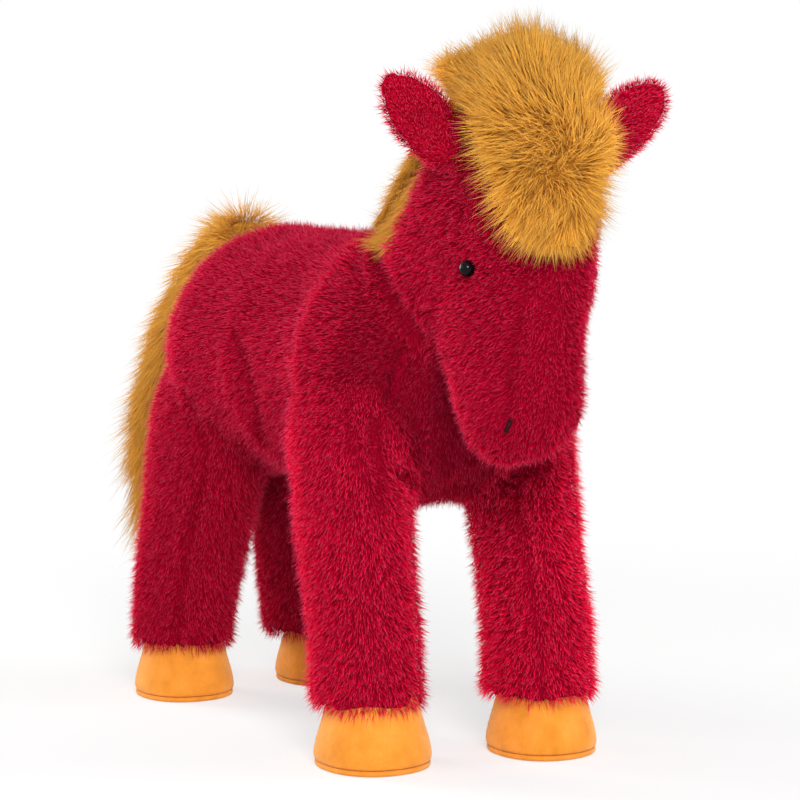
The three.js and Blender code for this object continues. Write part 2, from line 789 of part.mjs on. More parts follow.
// Head: a skin open at the neck, with sockets for the eyes, the nostril stitches and the ears.
function addHead() {
  const eyeRooms = sides.map(({ side }) => solidOf(placed(grown(eyeBead(), GAP), eyePlacement(side))));
  const pockets = sides.map(({ side }) => {
    const pocket = disc(WASHER_DIAMETER + 2 * GAP, WASHER_THICKNESS + 2 * GAP);
    pocket.translate(0, 0, -washerDepth());
    return solidOf(placed(pocket, eyePlacement(side)));
  });
  const grooves = sides.map(({ side }) => (
    solidOf(placed(grown(nostrilStitch(), GAP), nostrilPlacement(side)))
  ));
  const skin = cut(
    solidOf(head),
    solidOf(grown(head, -SKIN)),
    solidOf(grown(neck, -SKIN)),
    ...eyeRooms,
    ...grooves,
    ...earRooms,
    solidOf(grown(torso, GAP)),
  );
  const filling = cut(
    solidOf(grown(head, -SKIN - GAP)),
    ...eyeRooms,
    ...pockets,
    ...earRooms,
    solidOf(grown(torso, GAP)),
  );
  horse.add(piece('head_skin', surfaceOf(skin), 'pile'));
  horse.add(piece('head_filling', surfaceOf(filling), 'wadding'));
  for (const { name, side } of sides) {
    const washer = eyeWasher().translate(0, 0, -washerDepth());
    addPlaced(horse, `eye_${name}_bead`, eyeBead(), 'bead', eyePlacement(side));
    addPlaced(horse, `eye_${name}_washer`, washer, 'washer', eyePlacement(side));
    addPlaced(horse, `nostril_${name}_stitch`, nostrilStitch(), 'thread', nostrilPlacement(side));
  }
}

function addEars() {
  for (const { name, side } of sides) {
    addPlaced(horse, `ear_${name}_back`, earPanel(false), 'pile', earPlacement(side));
    addPlaced(horse, `ear_${name}_front`, earPanel(true), 'pile', earPlacement(side));
  }
}

// Legs: each a sleeve over its filling, closed below by a velour hoof with a weighted pouch.
function addLegs() {
  for (const leg of legs) {
    const sleeve = legSurfaces.get(leg.name);
    const below = new THREE.BoxGeometry(TORSO_LENGTH, TORSO_LENGTH, HOOF_HEIGHT);
    below.translate(leg.side * LEG_SPREAD, leg.step, HOOF_HEIGHT / 2);
    const hoofTop = new THREE.BoxGeometry(TORSO_LENGTH, TORSO_LENGTH, HOOF_HEIGHT + HOOF_COLLAR + GAP);
    hoofTop.translate(leg.side * LEG_SPREAD, leg.step, (HOOF_HEIGHT + HOOF_COLLAR + GAP) / 2);
    const skin = cut(
      solidOf(sleeve),
      solidOf(grown(sleeve, -SKIN)),
      solidOf(grown(torso, GAP)),
      solidOf(below),
    );
    const filling = cut(
      solidOf(grown(sleeve, -SKIN - GAP)),
      solidOf(grown(torso, -SKIN)),
      solidOf(hoofTop),
    );
    horse.add(piece(`leg_${leg.name}_skin`, surfaceOf(skin), 'pile'));
    horse.add(piece(`leg_${leg.name}_filling`, surfaceOf(filling), 'wadding'));

    const hoof = new THREE.Group();
    hoof.position.set(leg.side * LEG_SPREAD, leg.step, 0);
    const { upper, pouch, sole } = hoofParts(leg);
    hoof.add(piece(`hoof_${leg.name}_upper`, upper, 'velour'));
    hoof.add(piece(`hoof_${leg.name}_sole`, sole, 'velour'));
    hoof.add(piece(`hoof_${leg.name}_pouch`, pouch, 'calico'));
    horse.add(hoof);
  }
}

// The forelock caps the head between the ears; the neck mane runs down the crest to the withers.
function addMane() {
  const tuft = cut(solidOf(forelock), solidOf(grown(head, GAP)), solidOf(grown(neck, GAP)), ...earRooms);
  const crest = cut(
    solidOf(maneForm().geometry()),
    solidOf(grown(torso, GAP)),
    solidOf(grown(neck, GAP)),
    solidOf(grown(head, GAP)),
    solidOf(grown(forelock, GAP)),
    ...earRooms,
  );
  horse.add(piece('forelock', surfaceOf(tuft), 'goldPile'));
  horse.add(piece('neck_mane', surfaceOf(crest), 'goldPile'));
}

// Tail: long pile round a narrow sewn strip, open where the strip comes out at the root.
function addTail() {
  const core = tailForm(TAIL_CORE_WIDTH, TAIL_CORE_THICKNESS, { reach: TAIL_CORE_REACH_SHARE }).geometry();
  const plume = cut(solidOf(tailForm(TAIL_WIDTH, TAIL_THICKNESS).geometry()), solidOf(grown(core, GAP)));
  horse.add(piece('tail_plume', surfaceOf(plume), 'goldPile'));
  horse.add(piece('tail_core', core, 'calico'));
}

addTorso();
addNeck();
addHead();
addEars();
addLegs();
addMane();
addTail();

const bounds = new THREE.Box3().setFromObject(horse, true);
const middle = bounds.getCenter(new THREE.Vector3());
horse.position.set(-middle.x, -middle.y, -bounds.min.z);

export default horse;
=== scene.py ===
"""Looks of a standing plush horse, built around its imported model.

Metres, +Z up. The horse faces -Y, so its right side is -X. The coat is real geometry: every hair is
a small closed strand that a geometry node tree plants on the stuffed body under it.
"""

import json
import logging
import math
from collections.abc import Callable, Sequence
from dataclasses import dataclass, field, fields
from enum import Enum

import bmesh
import bpy
import numpy as np
from mathutils import Matrix, Vector, noise
from mathutils.bvhtree import BVHTree
from mathutils.kdtree import KDTree


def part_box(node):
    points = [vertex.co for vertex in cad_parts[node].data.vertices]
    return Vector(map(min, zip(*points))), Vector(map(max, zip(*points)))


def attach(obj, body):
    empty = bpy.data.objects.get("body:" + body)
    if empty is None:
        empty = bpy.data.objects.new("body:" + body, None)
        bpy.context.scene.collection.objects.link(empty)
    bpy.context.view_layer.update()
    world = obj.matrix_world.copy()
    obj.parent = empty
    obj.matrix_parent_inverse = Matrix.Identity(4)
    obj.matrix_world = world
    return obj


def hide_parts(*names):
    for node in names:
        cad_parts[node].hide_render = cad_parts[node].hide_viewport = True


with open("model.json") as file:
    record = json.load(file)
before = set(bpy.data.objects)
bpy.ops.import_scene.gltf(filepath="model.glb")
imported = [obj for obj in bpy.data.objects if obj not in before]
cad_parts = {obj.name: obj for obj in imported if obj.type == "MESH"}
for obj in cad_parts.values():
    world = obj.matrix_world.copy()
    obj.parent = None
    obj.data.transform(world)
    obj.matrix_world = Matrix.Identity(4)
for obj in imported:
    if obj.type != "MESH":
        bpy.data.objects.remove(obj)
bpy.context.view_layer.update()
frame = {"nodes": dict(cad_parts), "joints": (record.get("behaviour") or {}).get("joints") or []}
log = logging.getLogger("plush_horse")

Colour = tuple[float, float, float]
STRAND_MAP = "OFBake"
PLAIN_TONE = 0.28
VIEW_LEFT, VIEW_RIGHT = (-0.845, 0.534, 0.0), (0.845, -0.534, 0.0)
FOLD_DEPTH = 0.006
FOLD_ROUNDS = 3
LEAST_FACING = 0.2
RIGHTWARD, LEFTWARD = (-1.0, 0.0, 0.0), (1.0, 0.0, 0.0)
UPWARD, DOWNWARD = (0.0, 0.0, 1.0), (0.0, 0.0, -1.0)
NOISE_SEED = 7
LEGS = ("front_right", "front_left", "hind_right", "hind_left")
SIDES = ("right", "left")


class Region(Enum):
    """The sewn parts of the body that carry short pile."""

    TORSO = "torso_skin"
    NECK = "neck_skin"
    HEAD = "head_skin"
    LEG_FRONT_RIGHT = "leg_front_right_skin"
    LEG_FRONT_LEFT = "leg_front_left_skin"
    LEG_HIND_RIGHT = "leg_hind_right_skin"
    LEG_HIND_LEFT = "leg_hind_left_skin"

    @property
    def number(self) -> int:
        """The region's place in this list."""
        return list(Region).index(self)


def linear(code: str) -> Colour:
    """Turns a display colour into the linear one that shaders take.

    Args:
        code: Six hexadecimal digits.

    Returns:
        Red, green and blue, each from 0 to 1.
    """
    values = (int(code[at : at + 2], 16) / 255 for at in (0, 2, 4))
    return tuple(v / 12.92 if v <= 0.04045 else ((v + 0.055) / 1.055) ** 2.4 for v in values)


def enabled(sockets: bpy.types.NodeInputs, key: str | int) -> bpy.types.NodeSocket:
    """Finds the socket of a name that a node uses in its present mode.

    Args:
        sockets: A node's inputs or outputs.
        key: The socket's name, or its number.

    Returns:
        The socket.
    """
    if isinstance(key, int):
        return sockets[key]
    return next(s for s in sockets if s.name == key and s.enabled)


class Graph:
    """A node tree under construction, for a material or for geometry."""

    def __init__(self, tree: bpy.types.NodeTree) -> None:
        """Starts from a tree.

        Args:
            tree: The tree that nodes are added to.
        """
        self.tree = tree

    def node(
        self, kind: str, inputs: dict[str | int, object] | None = None, **settings: object
    ) -> bpy.types.Node:
        """Adds a node.

        Args:
            kind: The node's Blender type.
            inputs: Values, or sockets to link, by input name or number.
            settings: The node's own properties.

        Returns:
            The node.
        """
        made = self.tree.nodes.new(kind)
        for name, value in settings.items():
            setattr(made, name, value)
        for key, value in (inputs or {}).items():
            self.feed(enabled(made.inputs, key), value)
        return made

    def feed(self, target: bpy.types.NodeSocket, value: object) -> None:
        """Links a socket to an input, or gives the input a value."""
        if isinstance(value, bpy.types.NodeSocket):
            self.tree.links.new(value, target)
        else:
            target.default_value = value

    def math(self, operation: str, *values: object) -> bpy.types.NodeSocket:
        """Adds a Math node on one to three values and gives its result."""
        return self.node("ShaderNodeMath", dict(enumerate(values)), operation=operation).outputs[0]

    def vector(self, operation: str, *values: object) -> bpy.types.NodeSocket:
        """Adds a Vector Math node on one or two vectors and gives its result."""
        return self.node(
            "ShaderNodeVectorMath", dict(enumerate(values)), operation=operation
        ).outputs[0]

    def scaled(self, vector: object, scale: object) -> bpy.types.NodeSocket:
        """Multiplies a vector by a number and gives the result."""
        return self.node(
            "ShaderNodeVectorMath", {0: vector, "Scale": scale}, operation="SCALE"
        ).outputs[0]

    def seen(self) -> bpy.types.NodeSocket:
        """Gives one where the camera sees something straight, mirrored or through glass."""
        path = self.node("ShaderNodeLightPath").outputs
        seen = self.math("MAXIMUM", path["Is Camera Ray"], path["Is Glossy Ray"])
        return self.math("MAXIMUM", seen, path["Is Transmission Ray"])

    def interface(self, inputs: Sequence[tuple[str, str]], output: str) -> dict[str, str]:
        """Gives a geometry node tree its inputs and its one output.

        Args:
            inputs: Each input's name and kind.
            output: The output's name.

        Returns:
            The identifier of each input, by name.
        """
        sockets = self.tree.interface
        names = {
            name: sockets.new_socket(
                name, in_out="INPUT", socket_type=f"NodeSocket{kind}"
            ).identifier
            for name, kind in inputs
        }
        sockets.new_socket(output, in_out="OUTPUT", socket_type="NodeSocketGeometry")
        return names

    def dressed(self, geometry: bpy.types.NodeSocket, material: object) -> None:
        """Ends a geometry node tree: puts a material on what it gives out."""
        values = {"Geometry": geometry, "Material": material}
        worn = self.node("GeometryNodeSetMaterial", values).outputs[0]
        self.tree.links.new(worn, self.tree.nodes.new("NodeGroupOutput").inputs[0])


class Shader(Graph):
    """A material under construction: a Principled shader and the nodes that feed it."""

    def __init__(self, name: str, **values: object) -> None:
        """Makes the material.

        Args:
            name: The material's name.
            values: Values that are the same all over, by socket name with _ for a space.
        """
        self.material = bpy.data.materials.new(name)
        self.material.use_nodes = True
        super().__init__(self.material.node_tree)
        self.surface = self.tree.nodes["Principled BSDF"]
        for key, value in values.items():
            self.surface.inputs[key.replace("_", " ")].default_value = value

    def place(self) -> bpy.types.NodeSocket:
        """Gives the place on the piece, in metres."""
        return self.node("ShaderNodeTexCoord").outputs["Object"]

    def noise(
        self, vector: bpy.types.NodeSocket, scale: float, detail: float = 2, rough: float = 0.5
    ) -> bpy.types.NodeSocket:
        """Adds noise and gives its grey value.

        Args:
            vector: Where the noise is read.
            scale: Lumps per metre.
            detail: Finer layers.
            rough: The strength of the finer layers.

        Returns:
            The value socket.
        """
        values = {"Vector": vector, "Scale": scale, "Detail": detail, "Roughness": rough}
        return self.node("ShaderNodeTexNoise", values).outputs[0]

    def ramp(
        self, value: bpy.types.NodeSocket, stops: Sequence[tuple[float, Colour]]
    ) -> bpy.types.NodeSocket:
        """Adds a colour ramp.

        Args:
            value: What picks the colour.
            stops: Places from 0 to 1 with their colours.

        Returns:
            The colour socket.
        """
        made = self.node("ShaderNodeValToRGB", {0: value})
        elements = made.color_ramp.elements
        for at, (place, colour) in enumerate(stops):
            element = elements[at] if at < 2 else elements.new(place)
            element.position = place
            element.color = (*colour, 1)
        return made.outputs[0]

    def mixed(self, share: object, first: object, second: object) -> bpy.types.NodeSocket:
        """Mixes two colours by a share and gives the result."""
        made = self.node("ShaderNodeMix", data_type="RGBA")
        self.feed(made.inputs[0], share)
        for key, value in ((6, first), (7, second)):
            self.feed(made.inputs[key], (*value, 1) if isinstance(value, tuple) else value)
        return made.outputs[2]

    def finish(
        self,
        colour: bpy.types.NodeSocket,
        height: bpy.types.NodeSocket | None = None,
        depth: float = 0.0,
        roughness: bpy.types.NodeSocket | None = None,
    ) -> bpy.types.Material:
        """Links colour, relief and roughness.

        Args:
            colour: The base colour.
            height: The relief, from 0 to 1.
            depth: The relief's depth in metres.
            roughness: The roughness, where it varies.

        Returns:
            The material.
        """
        self.tree.links.new(colour, self.surface.inputs["Base Color"])
        if height is not None:
            bump = self.node("ShaderNodeBump", {"Height": height, "Distance": depth})
            self.tree.links.new(bump.outputs[0], self.surface.inputs["Normal"])
        if roughness is not None:
            self.tree.links.new(roughness, self.surface.inputs["Roughness"])
        return self.material


@dataclass(frozen=True)
class PileFinish:
    """Dyed pile whose strands run from a darker root to a paler tip, with a tint of its own on each
    strand: the crimson and the gold are its own, the darker root is painted shade deep in the pile
    and the paler tip a painted glow where light catches the tips.
    """

    name: str
    root: Colour
    middle: Colour
    tip: Colour
    sheen: float
    sheen_tint: Colour
    roughness: float = 0.75
    specular: float = 0.0
    darkest: float = 0.4
    lightest: float = 1.6

    def material(self) -> bpy.types.Material:
        """Makes the material, which reads the strands' own map: tint across, root to tip along."""
        made = Shader(
            self.name,
            Roughness=self.roughness,
            Specular_IOR_Level=self.specular,
            Sheen_Weight=self.sheen,
            Sheen_Roughness=0.45,
            Sheen_Tint=(*self.sheen_tint, 1),
        )
        strand = made.node("ShaderNodeUVMap", uv_map=STRAND_MAP).outputs[0]
        parts = made.node("ShaderNodeSeparateXYZ", {0: strand}).outputs
        # A dark root of painted shade, the pile's own colour in the middle and a pale tip of
        # painted glow.
        stops = [(0.05, self.root), (0.7, self.middle), (1.0, self.tip)]
        colour = made.ramp(parts[1], stops)
        spread = {"Value": parts[0], 3: self.darkest, 4: self.lightest}
        value = made.node("ShaderNodeMapRange", spread).outputs[0]
        toned = made.node("ShaderNodeHueSaturation", {"Value": value, "Color": colour})
        return made.finish(toned.outputs[0])


@dataclass(frozen=True)
class KnitFinish:
    """The knitted backing that the pile is tied into."""

    name: str
    light: Colour
    dark: Colour
    stitch: float = 900.0

    def material(self) -> bpy.types.Material:
        """Makes the material: rows of small knit loops with soft colour patches."""
        made = Shader(self.name, Roughness=0.95, Specular_IOR_Level=0.02)
        place = made.place()
        loops = made.node("ShaderNodeTexVoronoi", {"Vector": place, "Scale": self.stitch})
        patches = made.noise(place, 90, 3)
        share = made.math("MULTIPLY", loops.outputs[0], patches)
        return made.finish(made.mixed(share, self.light, self.dark), loops.outputs[0], 0.0003)


@dataclass(frozen=True)
class VelourFinish:
    """Short velour: a brushed nap with pale and deep patches and a fine grain."""

    name: str
    light: Colour
    base: Colour
    deep: Colour

    def material(self) -> bpy.types.Material:
        """Makes the material."""
        made = Shader(
            self.name,
            Roughness=0.85,
            Specular_IOR_Level=0.15,
            Sheen_Weight=0.5,
            Sheen_Roughness=0.35,
            Sheen_Tint=(1.0, 0.82, 0.5, 1),
        )
        place = made.place()
        nap = made.noise(place, 70, 3, 0.6)
        brushed = made.node("ShaderNodeMapping", {"Vector": place, "Scale": (1, 1, 0.4)})
        grain = made.noise(brushed.outputs[0], 1500, 2, 0.7)
        tone = made.ramp(nap, [(0.3, self.deep), (0.5, self.base), (0.72, self.light)])
        speckle = made.math("SMOOTH_MIN", made.math("MULTIPLY", grain, 1.5), 1.0, 0.2)
        colour = made.mixed(speckle, self.deep, tone)
        relief = made.math("ADD", made.math("MULTIPLY", nap, 0.6), grain)
        return made.finish(colour, relief, 0.0005)


@dataclass(frozen=True)
class FibreFinish:
    """Loose white wadding of crimped fibres."""

    name: str
    light: Colour
    shade: Colour

    def material(self) -> bpy.types.Material:
        """Makes the material."""
        made = Shader(self.name, Roughness=1.0, Sheen_Weight=0.6, Specular_IOR_Level=0.05)
        place = made.place()
        lumps = made.noise(place, 60, 3, 0.6)
        fibres = made.noise(place, 900, 3, 0.8)
        share = made.math("MULTIPLY", lumps, fibres)
        return made.finish(made.mixed(share, self.shade, self.light), fibres, 0.0006)


@dataclass(frozen=True)
class WeaveFinish:
    """Plain woven cotton, over and under at a fixed pitch."""

    name: str
    light: Colour
    dark: Colour
    pitch: float = 0.0008

    def material(self) -> bpy.types.Material:
        """Makes the material."""
        made = Shader(self.name, Roughness=0.9, Sheen_Weight=0.15, Specular_IOR_Level=0.15)
        place = made.place()
        scale = 1 / self.pitch / 2
        rows = [
            made.node(
                "ShaderNodeTexWave",
                {"Vector": place, "Scale": scale, "Distortion": 0.4, "Detail": 1},
                bands_direction=way,
            ).outputs[0]
            for way in ("X", "Y", "Z")
        ]
        weave = made.math("MULTIPLY", made.math("MAXIMUM", rows[0], rows[1]), rows[2])
        slub = made.noise(place, 300, 2)
        share = made.math("MULTIPLY", weave, slub)
        return made.finish(made.mixed(share, self.dark, self.light), weave, 0.0002)


@dataclass(frozen=True)
class MouldedFinish:
    """Moulded plastic, glossy or matte, with a faint unevenness."""

    name: str
    colour: Colour
    edge: Colour
    smoothest: float
    roughest: float
    specular: float = 0.5

    def material(self) -> bpy.types.Material:
        """Makes the material."""
        made = Shader(self.name, Specular_IOR_Level=self.specular)
        place = made.place()
        wear = made.noise(place, 1200, 3, 0.6)
        spread = {"Value": wear, 3: self.smoothest, 4: self.roughest}
        roughness = made.node("ShaderNodeMapRange", spread).outputs[0]
        colour = made.mixed(made.noise(place, 250, 2), self.colour, self.edge)
        return made.finish(colour, wear, 0.00001, roughness)


@dataclass(frozen=True)
class ThreadFinish:
    """Twisted embroidery thread."""

    name: str
    light: Colour
    dark: Colour
    twist: float = 1800.0

    def material(self) -> bpy.types.Material:
        """Makes the material."""
        made = Shader(self.name, Roughness=0.6, Specular_IOR_Level=0.1)
        place = made.place()
        plies = made.node(
            "ShaderNodeTexWave",
            {"Vector": place, "Scale": self.twist, "Distortion": 1.0},
            bands_direction="DIAGONAL",
        ).outputs[0]
        return made.finish(made.mixed(plies, self.dark, self.light), plies, 0.0001)


@dataclass(frozen=True)
class Finishes:
    """Every finish that the horse wears."""

    # The crimson pile's dark root is painted shade deep in the pile and its pale pink tip a painted
    # glow at the rims.
    coat: PileFinish = PileFinish(
        name="crimson_pile",
        root=linear("7E001B"),
        middle=linear("D60033"),
        tip=linear("FF6088"),
        sheen=0.02,
        sheen_tint=(1.0, 0.35, 0.45),
    )
    # The golden pile's darker root is painted shade and its paler tip a painted glow.
    hair: PileFinish = PileFinish(
        name="golden_pile",
        root=linear("D08E30"),
        middle=linear("E2A440"),
        tip=linear("ECB764"),
        sheen=0.04,
        sheen_tint=(1.0, 0.8, 0.5),
        roughness=0.65,
        darkest=0.7,
        lightest=1.26,
    )
    # The coat knit's dark crimson is its own and also stands in for the shade deep in the pile,
    # where it shows between the strands.
    coat_knit: KnitFinish = KnitFinish("crimson_knit", linear("900422"), linear("5A0012"))
    ear_knit: KnitFinish = KnitFinish("ear_knit", linear("A80626"), linear("82051C"))
    hair_knit: KnitFinish = KnitFinish("golden_knit", linear("C08430"), linear("94621C"))
    velour: VelourFinish = VelourFinish(
        "golden_velour", linear("F29A40"), linear("E48E30"), linear("D08026")
    )
    wadding: FibreFinish = FibreFinish("white_wadding", linear("F5F2EA"), linear("CFCABD"))
    calico: WeaveFinish = WeaveFinish("cream_calico", linear("EFE6CF"), linear("C9BB98"))
    bead: MouldedFinish = MouldedFinish(
        "black_bead", linear("050406"), linear("0C090A"), 0.03, 0.1, specular=0.12
    )
    washer: MouldedFinish = MouldedFinish(
        "white_plastic", linear("DDDCD6"), linear("CFCEC8"), 0.4, 0.6
    )
    thread: ThreadFinish = ThreadFinish("dark_thread", linear("3C0612"), linear("1C0308"))


@dataclass
class Surface:
    """A quad surface as arrays, with the values that its pile needs at each point."""

    points: np.ndarray
    faces: np.ndarray
    values: dict[str, np.ndarray] = field(default_factory=dict)

    @classmethod
    def voxelled(cls, meshes: Sequence[bpy.types.Mesh], voxel: float) -> "Surface":
        """Wraps meshes in one closed skin and keeps its largest shell.

        Args:
            meshes: What to wrap.
            voxel: The size of a face.

        Returns:
            The surface.
        """
        joined = bmesh.new()
        for mesh in meshes:
            joined.from_mesh(mesh)
        shell = bpy.data.meshes.new("wrap")
        joined.to_mesh(shell)
        joined.free()
        holder = linked("wrap", shell)
        remesh = holder.modifiers.new("Voxels", "REMESH")
        remesh.mode = "VOXEL"
        remesh.voxel_size = voxel
        wrapped = plain_mesh(holder)
        bpy.data.objects.remove(holder)
        points = numbers(wrapped.vertices, "co", 3)
        faces = numbers(wrapped.loops, "vertex_index", 1, np.int32).reshape(-1, 4)
        bpy.data.meshes.remove(wrapped)
        return cls(points, faces).largest()

    def edges(self) -> tuple[np.ndarray, np.ndarray]:
        """Gives both ends of every side of every face."""
        ends = np.concatenate([self.faces[:, [at, (at + 1) % 4]] for at in range(4)])
        return ends[:, 0], ends[:, 1]

    def rim(self) -> np.ndarray:
        """Says which points lie at an open edge."""
        start, end = self.edges()
        count = len(self.points)
        pairs, times = np.unique(
            np.minimum(start, end) * count + np.maximum(start, end), return_counts=True
        )
        single = pairs[times == 1]
        found = np.zeros(count, bool)
        found[single // count] = True
        found[single % count] = True
        return found

    def largest(self) -> "Surface":
        """Gives the connected shell with the most points."""
        label = np.arange(len(self.points))
        start, end = self.edges()
        while True:
            lowest = label.copy()
            np.minimum.at(lowest, start, label[end])
            np.minimum.at(lowest, end, label[start])
            lowest = lowest[lowest]
            if (lowest == label).all():
                break
            label = lowest
        most = np.bincount(label).argmax()
        return self.part((label == most)[self.faces[:, 0]])

    def part(self, keep: np.ndarray) -> "Surface":
        """Cuts out some of the faces.

        Args:
            keep: Which faces stay.

        Returns:
            The smaller surface with its values.
        """
        faces = self.faces[keep]
        used, renumbered = np.unique(faces, return_inverse=True)
        values = {name: value[used] for name, value in self.values.items()}
        return Surface(self.points[used], renumbered.reshape(-1, 4), values)

    def normals(self) -> np.ndarray:
        """Gives a unit normal at each point."""
        corner = self.points[self.faces]
        across = np.cross(corner[:, 2] - corner[:, 0], corner[:, 3] - corner[:, 1])
        normal = np.zeros_like(self.points)
        for at in range(4):
            np.add.at(normal, self.faces[:, at], across)
        return unit(normal)

    def relax(self, rounds: int, share: float = 0.5) -> "Surface":
        """Evens the surface out by moving each point towards its neighbours' middle.

        Args:
            rounds: How often.
            share: How far each time.

        Returns:
            The same surface.
        """
        start, end = self.edges()
        count = np.bincount(start, minlength=len(self.points)) + np.bincount(
            end, minlength=len(self.points)
        )
        for _ in range(rounds):
            total = np.zeros_like(self.points)
            np.add.at(total, start, self.points[end])
            np.add.at(total, end, self.points[start])
            self.points += share * (total / count[:, None] - self.points)
        return self

    def deflate(self, depth: float, step: float = 0.0015) -> "Surface":
        """Moves the surface inward in small even steps.

        Args:
            depth: How far in all.
            step: The most for one step.

        Returns:
            The same surface.
        """
        rounds = max(1, round(depth / step))
        for _ in range(rounds):
            self.points -= self.normals() * (depth / rounds)
            self.relax(1, 0.4)
        return self

    def press(self, cover: "Surface", depth: float) -> "Surface":
        """Presses in what would lie less than a depth under a cover.

        Args:
            cover: A closed surface round this one.
            depth: The least depth.

        Returns:
            The same surface.
        """
        tree = BVHTree.FromPolygons(cover.points.tolist(), cover.faces.tolist())
        for number, point in enumerate(self.points):
            spot, normal, _, _ = tree.find_nearest(Vector(point))
            if (spot - Vector(point)).dot(normal) < depth:
                self.points[number] = spot - normal * depth
        for _ in range(FOLD_ROUNDS):
            self.give_way(cover, depth)
        return self

    def give_way(self, cover: "Surface", depth: float) -> None:
        """Moves faces in wherever a fold of the cover cuts into them.

        Args:
            cover: A closed surface round this one.
            depth: The least depth.
        """
        tree = BVHTree.FromPolygons(self.points.tolist(), self.faces.tolist())
        low, high = self.points.min(0) - depth, self.points.max(0) + depth
        near = ((cover.points > low) & (cover.points < high)).all(1)
        most, move = np.zeros(len(self.points)), np.zeros_like(self.points)
        for point, normal in zip(cover.points[near], cover.normals()[near]):
            start, out = Vector(point - normal * depth), Vector(normal)
            hit, facing, face, far = tree.ray_cast(start, out, FOLD_DEPTH)
            if hit is None or facing.dot(out) < LEAST_FACING:
                continue
            for corner in self.faces[face]:
                if far > most[corner]:
                    most[corner] = far
                    move[corner] = -normal * far
        self.points += move

    def mesh(self, name: str) -> bpy.types.Mesh:
        """Makes a smooth Blender mesh with the values as attributes.

        Args:
            name: The mesh's name.

        Returns:
            The mesh.
        """
        made = bpy.data.meshes.new(name)
        made.from_pydata(self.points.tolist(), [], self.faces.tolist())
        made.shade_smooth()
        for key, value in self.values.items():
            kind, slot = ("FLOAT_VECTOR", "vector") if value.ndim == 2 else ("FLOAT", "value")
            attribute = made.attributes.new(key, kind, "POINT")
            attribute.data.foreach_set(slot, value.astype(np.float32).ravel())
        return made


def numbers(
    items: bpy.types.bpy_prop_collection, name: str, width: int, kind: type = np.float32
) -> np.ndarray:
    """Reads one property of every item in a collection.

    Args:
        items: A mesh's vertices, loops or polygons.
        name: The property.
        width: Numbers per item.
        kind: The kind of number.

    Returns:
        One row for each item, or a flat array where there is one number each.
    """
    flat = np.zeros(len(items) * width, kind)
    items.foreach_get(name, flat)
    if kind is np.float32:
        flat = flat.astype(np.float64)
    return flat.reshape(-1, width) if width > 1 else flat


def unit(vectors: np.ndarray) -> np.ndarray:
    """Scales each row to length one."""
    return vectors / np.maximum(np.linalg.norm(vectors, axis=-1, keepdims=True), 1e-12)


def linked(name: str, data: bpy.types.ID) -> bpy.types.Object:
    """Makes an object and puts it in the scene."""
    made = bpy.data.objects.new(name, data)
    bpy.context.scene.collection.objects.link(made)
    return made


def box_of(node: str) -> tuple[np.ndarray, np.ndarray]:
    """Gives the low and the high corner of a node's box."""
    low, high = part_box(node)
    return np.array(low), np.array(high)


def grown(
    name: str, mesh: bpy.types.Mesh, tree: bpy.types.NodeTree, inputs: dict[str, object]
) -> bpy.types.Mesh:
    """Runs a geometry node tree on a mesh.

    Args:
        name: What the object is called meanwhile.
        mesh: What the tree starts from.
        tree: The tree.
        inputs: Its values, by socket identifier.

    Returns:
        The plain mesh that comes out.
    """
    holder = bpy.data.objects.new(name, mesh)
    modifier = holder.modifiers.new(tree.name, "NODES")
    modifier.node_group = tree
    for key, value in inputs.items():
        modifier[key] = value
    bpy.context.scene.collection.objects.link(holder)
    made = plain_mesh(holder)
    holder.modifiers.clear()
    bpy.data.objects.remove(holder)
    return made


def plain_mesh(holder: bpy.types.Object) -> bpy.types.Mesh:
    """Gives the mesh of an object with its modifiers applied."""
    bpy.context.view_layer.update()
    graph = bpy.context.evaluated_depsgraph_get()
    return bpy.data.meshes.new_from_object(holder.evaluated_get(graph), depsgraph=graph)


def cad_mesh(node: str) -> bpy.types.Mesh:
    """Gives a node's own mesh, which is only read."""
    return frame["nodes"][node].data


def piece(
    name: str,
    mesh: bpy.types.Mesh,
    material: bpy.types.Material,
    body: str = "body",
    nodes: Sequence[str] = (),
) -> bpy.types.Object:
    """Places a finished mesh in the scene on its body and hides the nodes that it stands for.

    Args:
        name: The piece's name.
        mesh: Its mesh, in place.
        material: What it wears.
        body: The body that it rides on.
        nodes: The nodes that it stands for.

    Returns:
        The object.
    """
    mesh.name = name
    mesh.materials.clear()
    mesh.materials.append(material)
    made = linked(name, mesh)
    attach(made, body)
    if nodes:
        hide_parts(*nodes)
    log.info("%s: %d faces on %s", name, len(mesh.polygons), body)
    return made


def shelled(surface: Surface, name: str, thickness: float) -> bpy.types.Mesh:
    """Gives an open surface a wall, so that it closes.

    Args:
        surface: The outer side.
        name: The mesh's name.
        thickness: The wall, grown inward.

    Returns:
        The closed mesh.
    """
    holder = linked(name, Surface(surface.points, surface.faces).mesh(name))
    inner = holder.vertex_groups.new(name="inner")
    inner.add(np.flatnonzero(~surface.rim()).tolist(), 1.0, "REPLACE")
    coarser = holder.modifiers.new("Coarser", "DECIMATE")
    coarser.ratio = 0.4
    coarser.vertex_group = inner.name
    wall = holder.modifiers.new("Wall", "SOLIDIFY")
    wall.thickness = thickness
    wall.offset = -1
    made = plain_mesh(holder)
    bpy.data.objects.remove(holder)
    return made


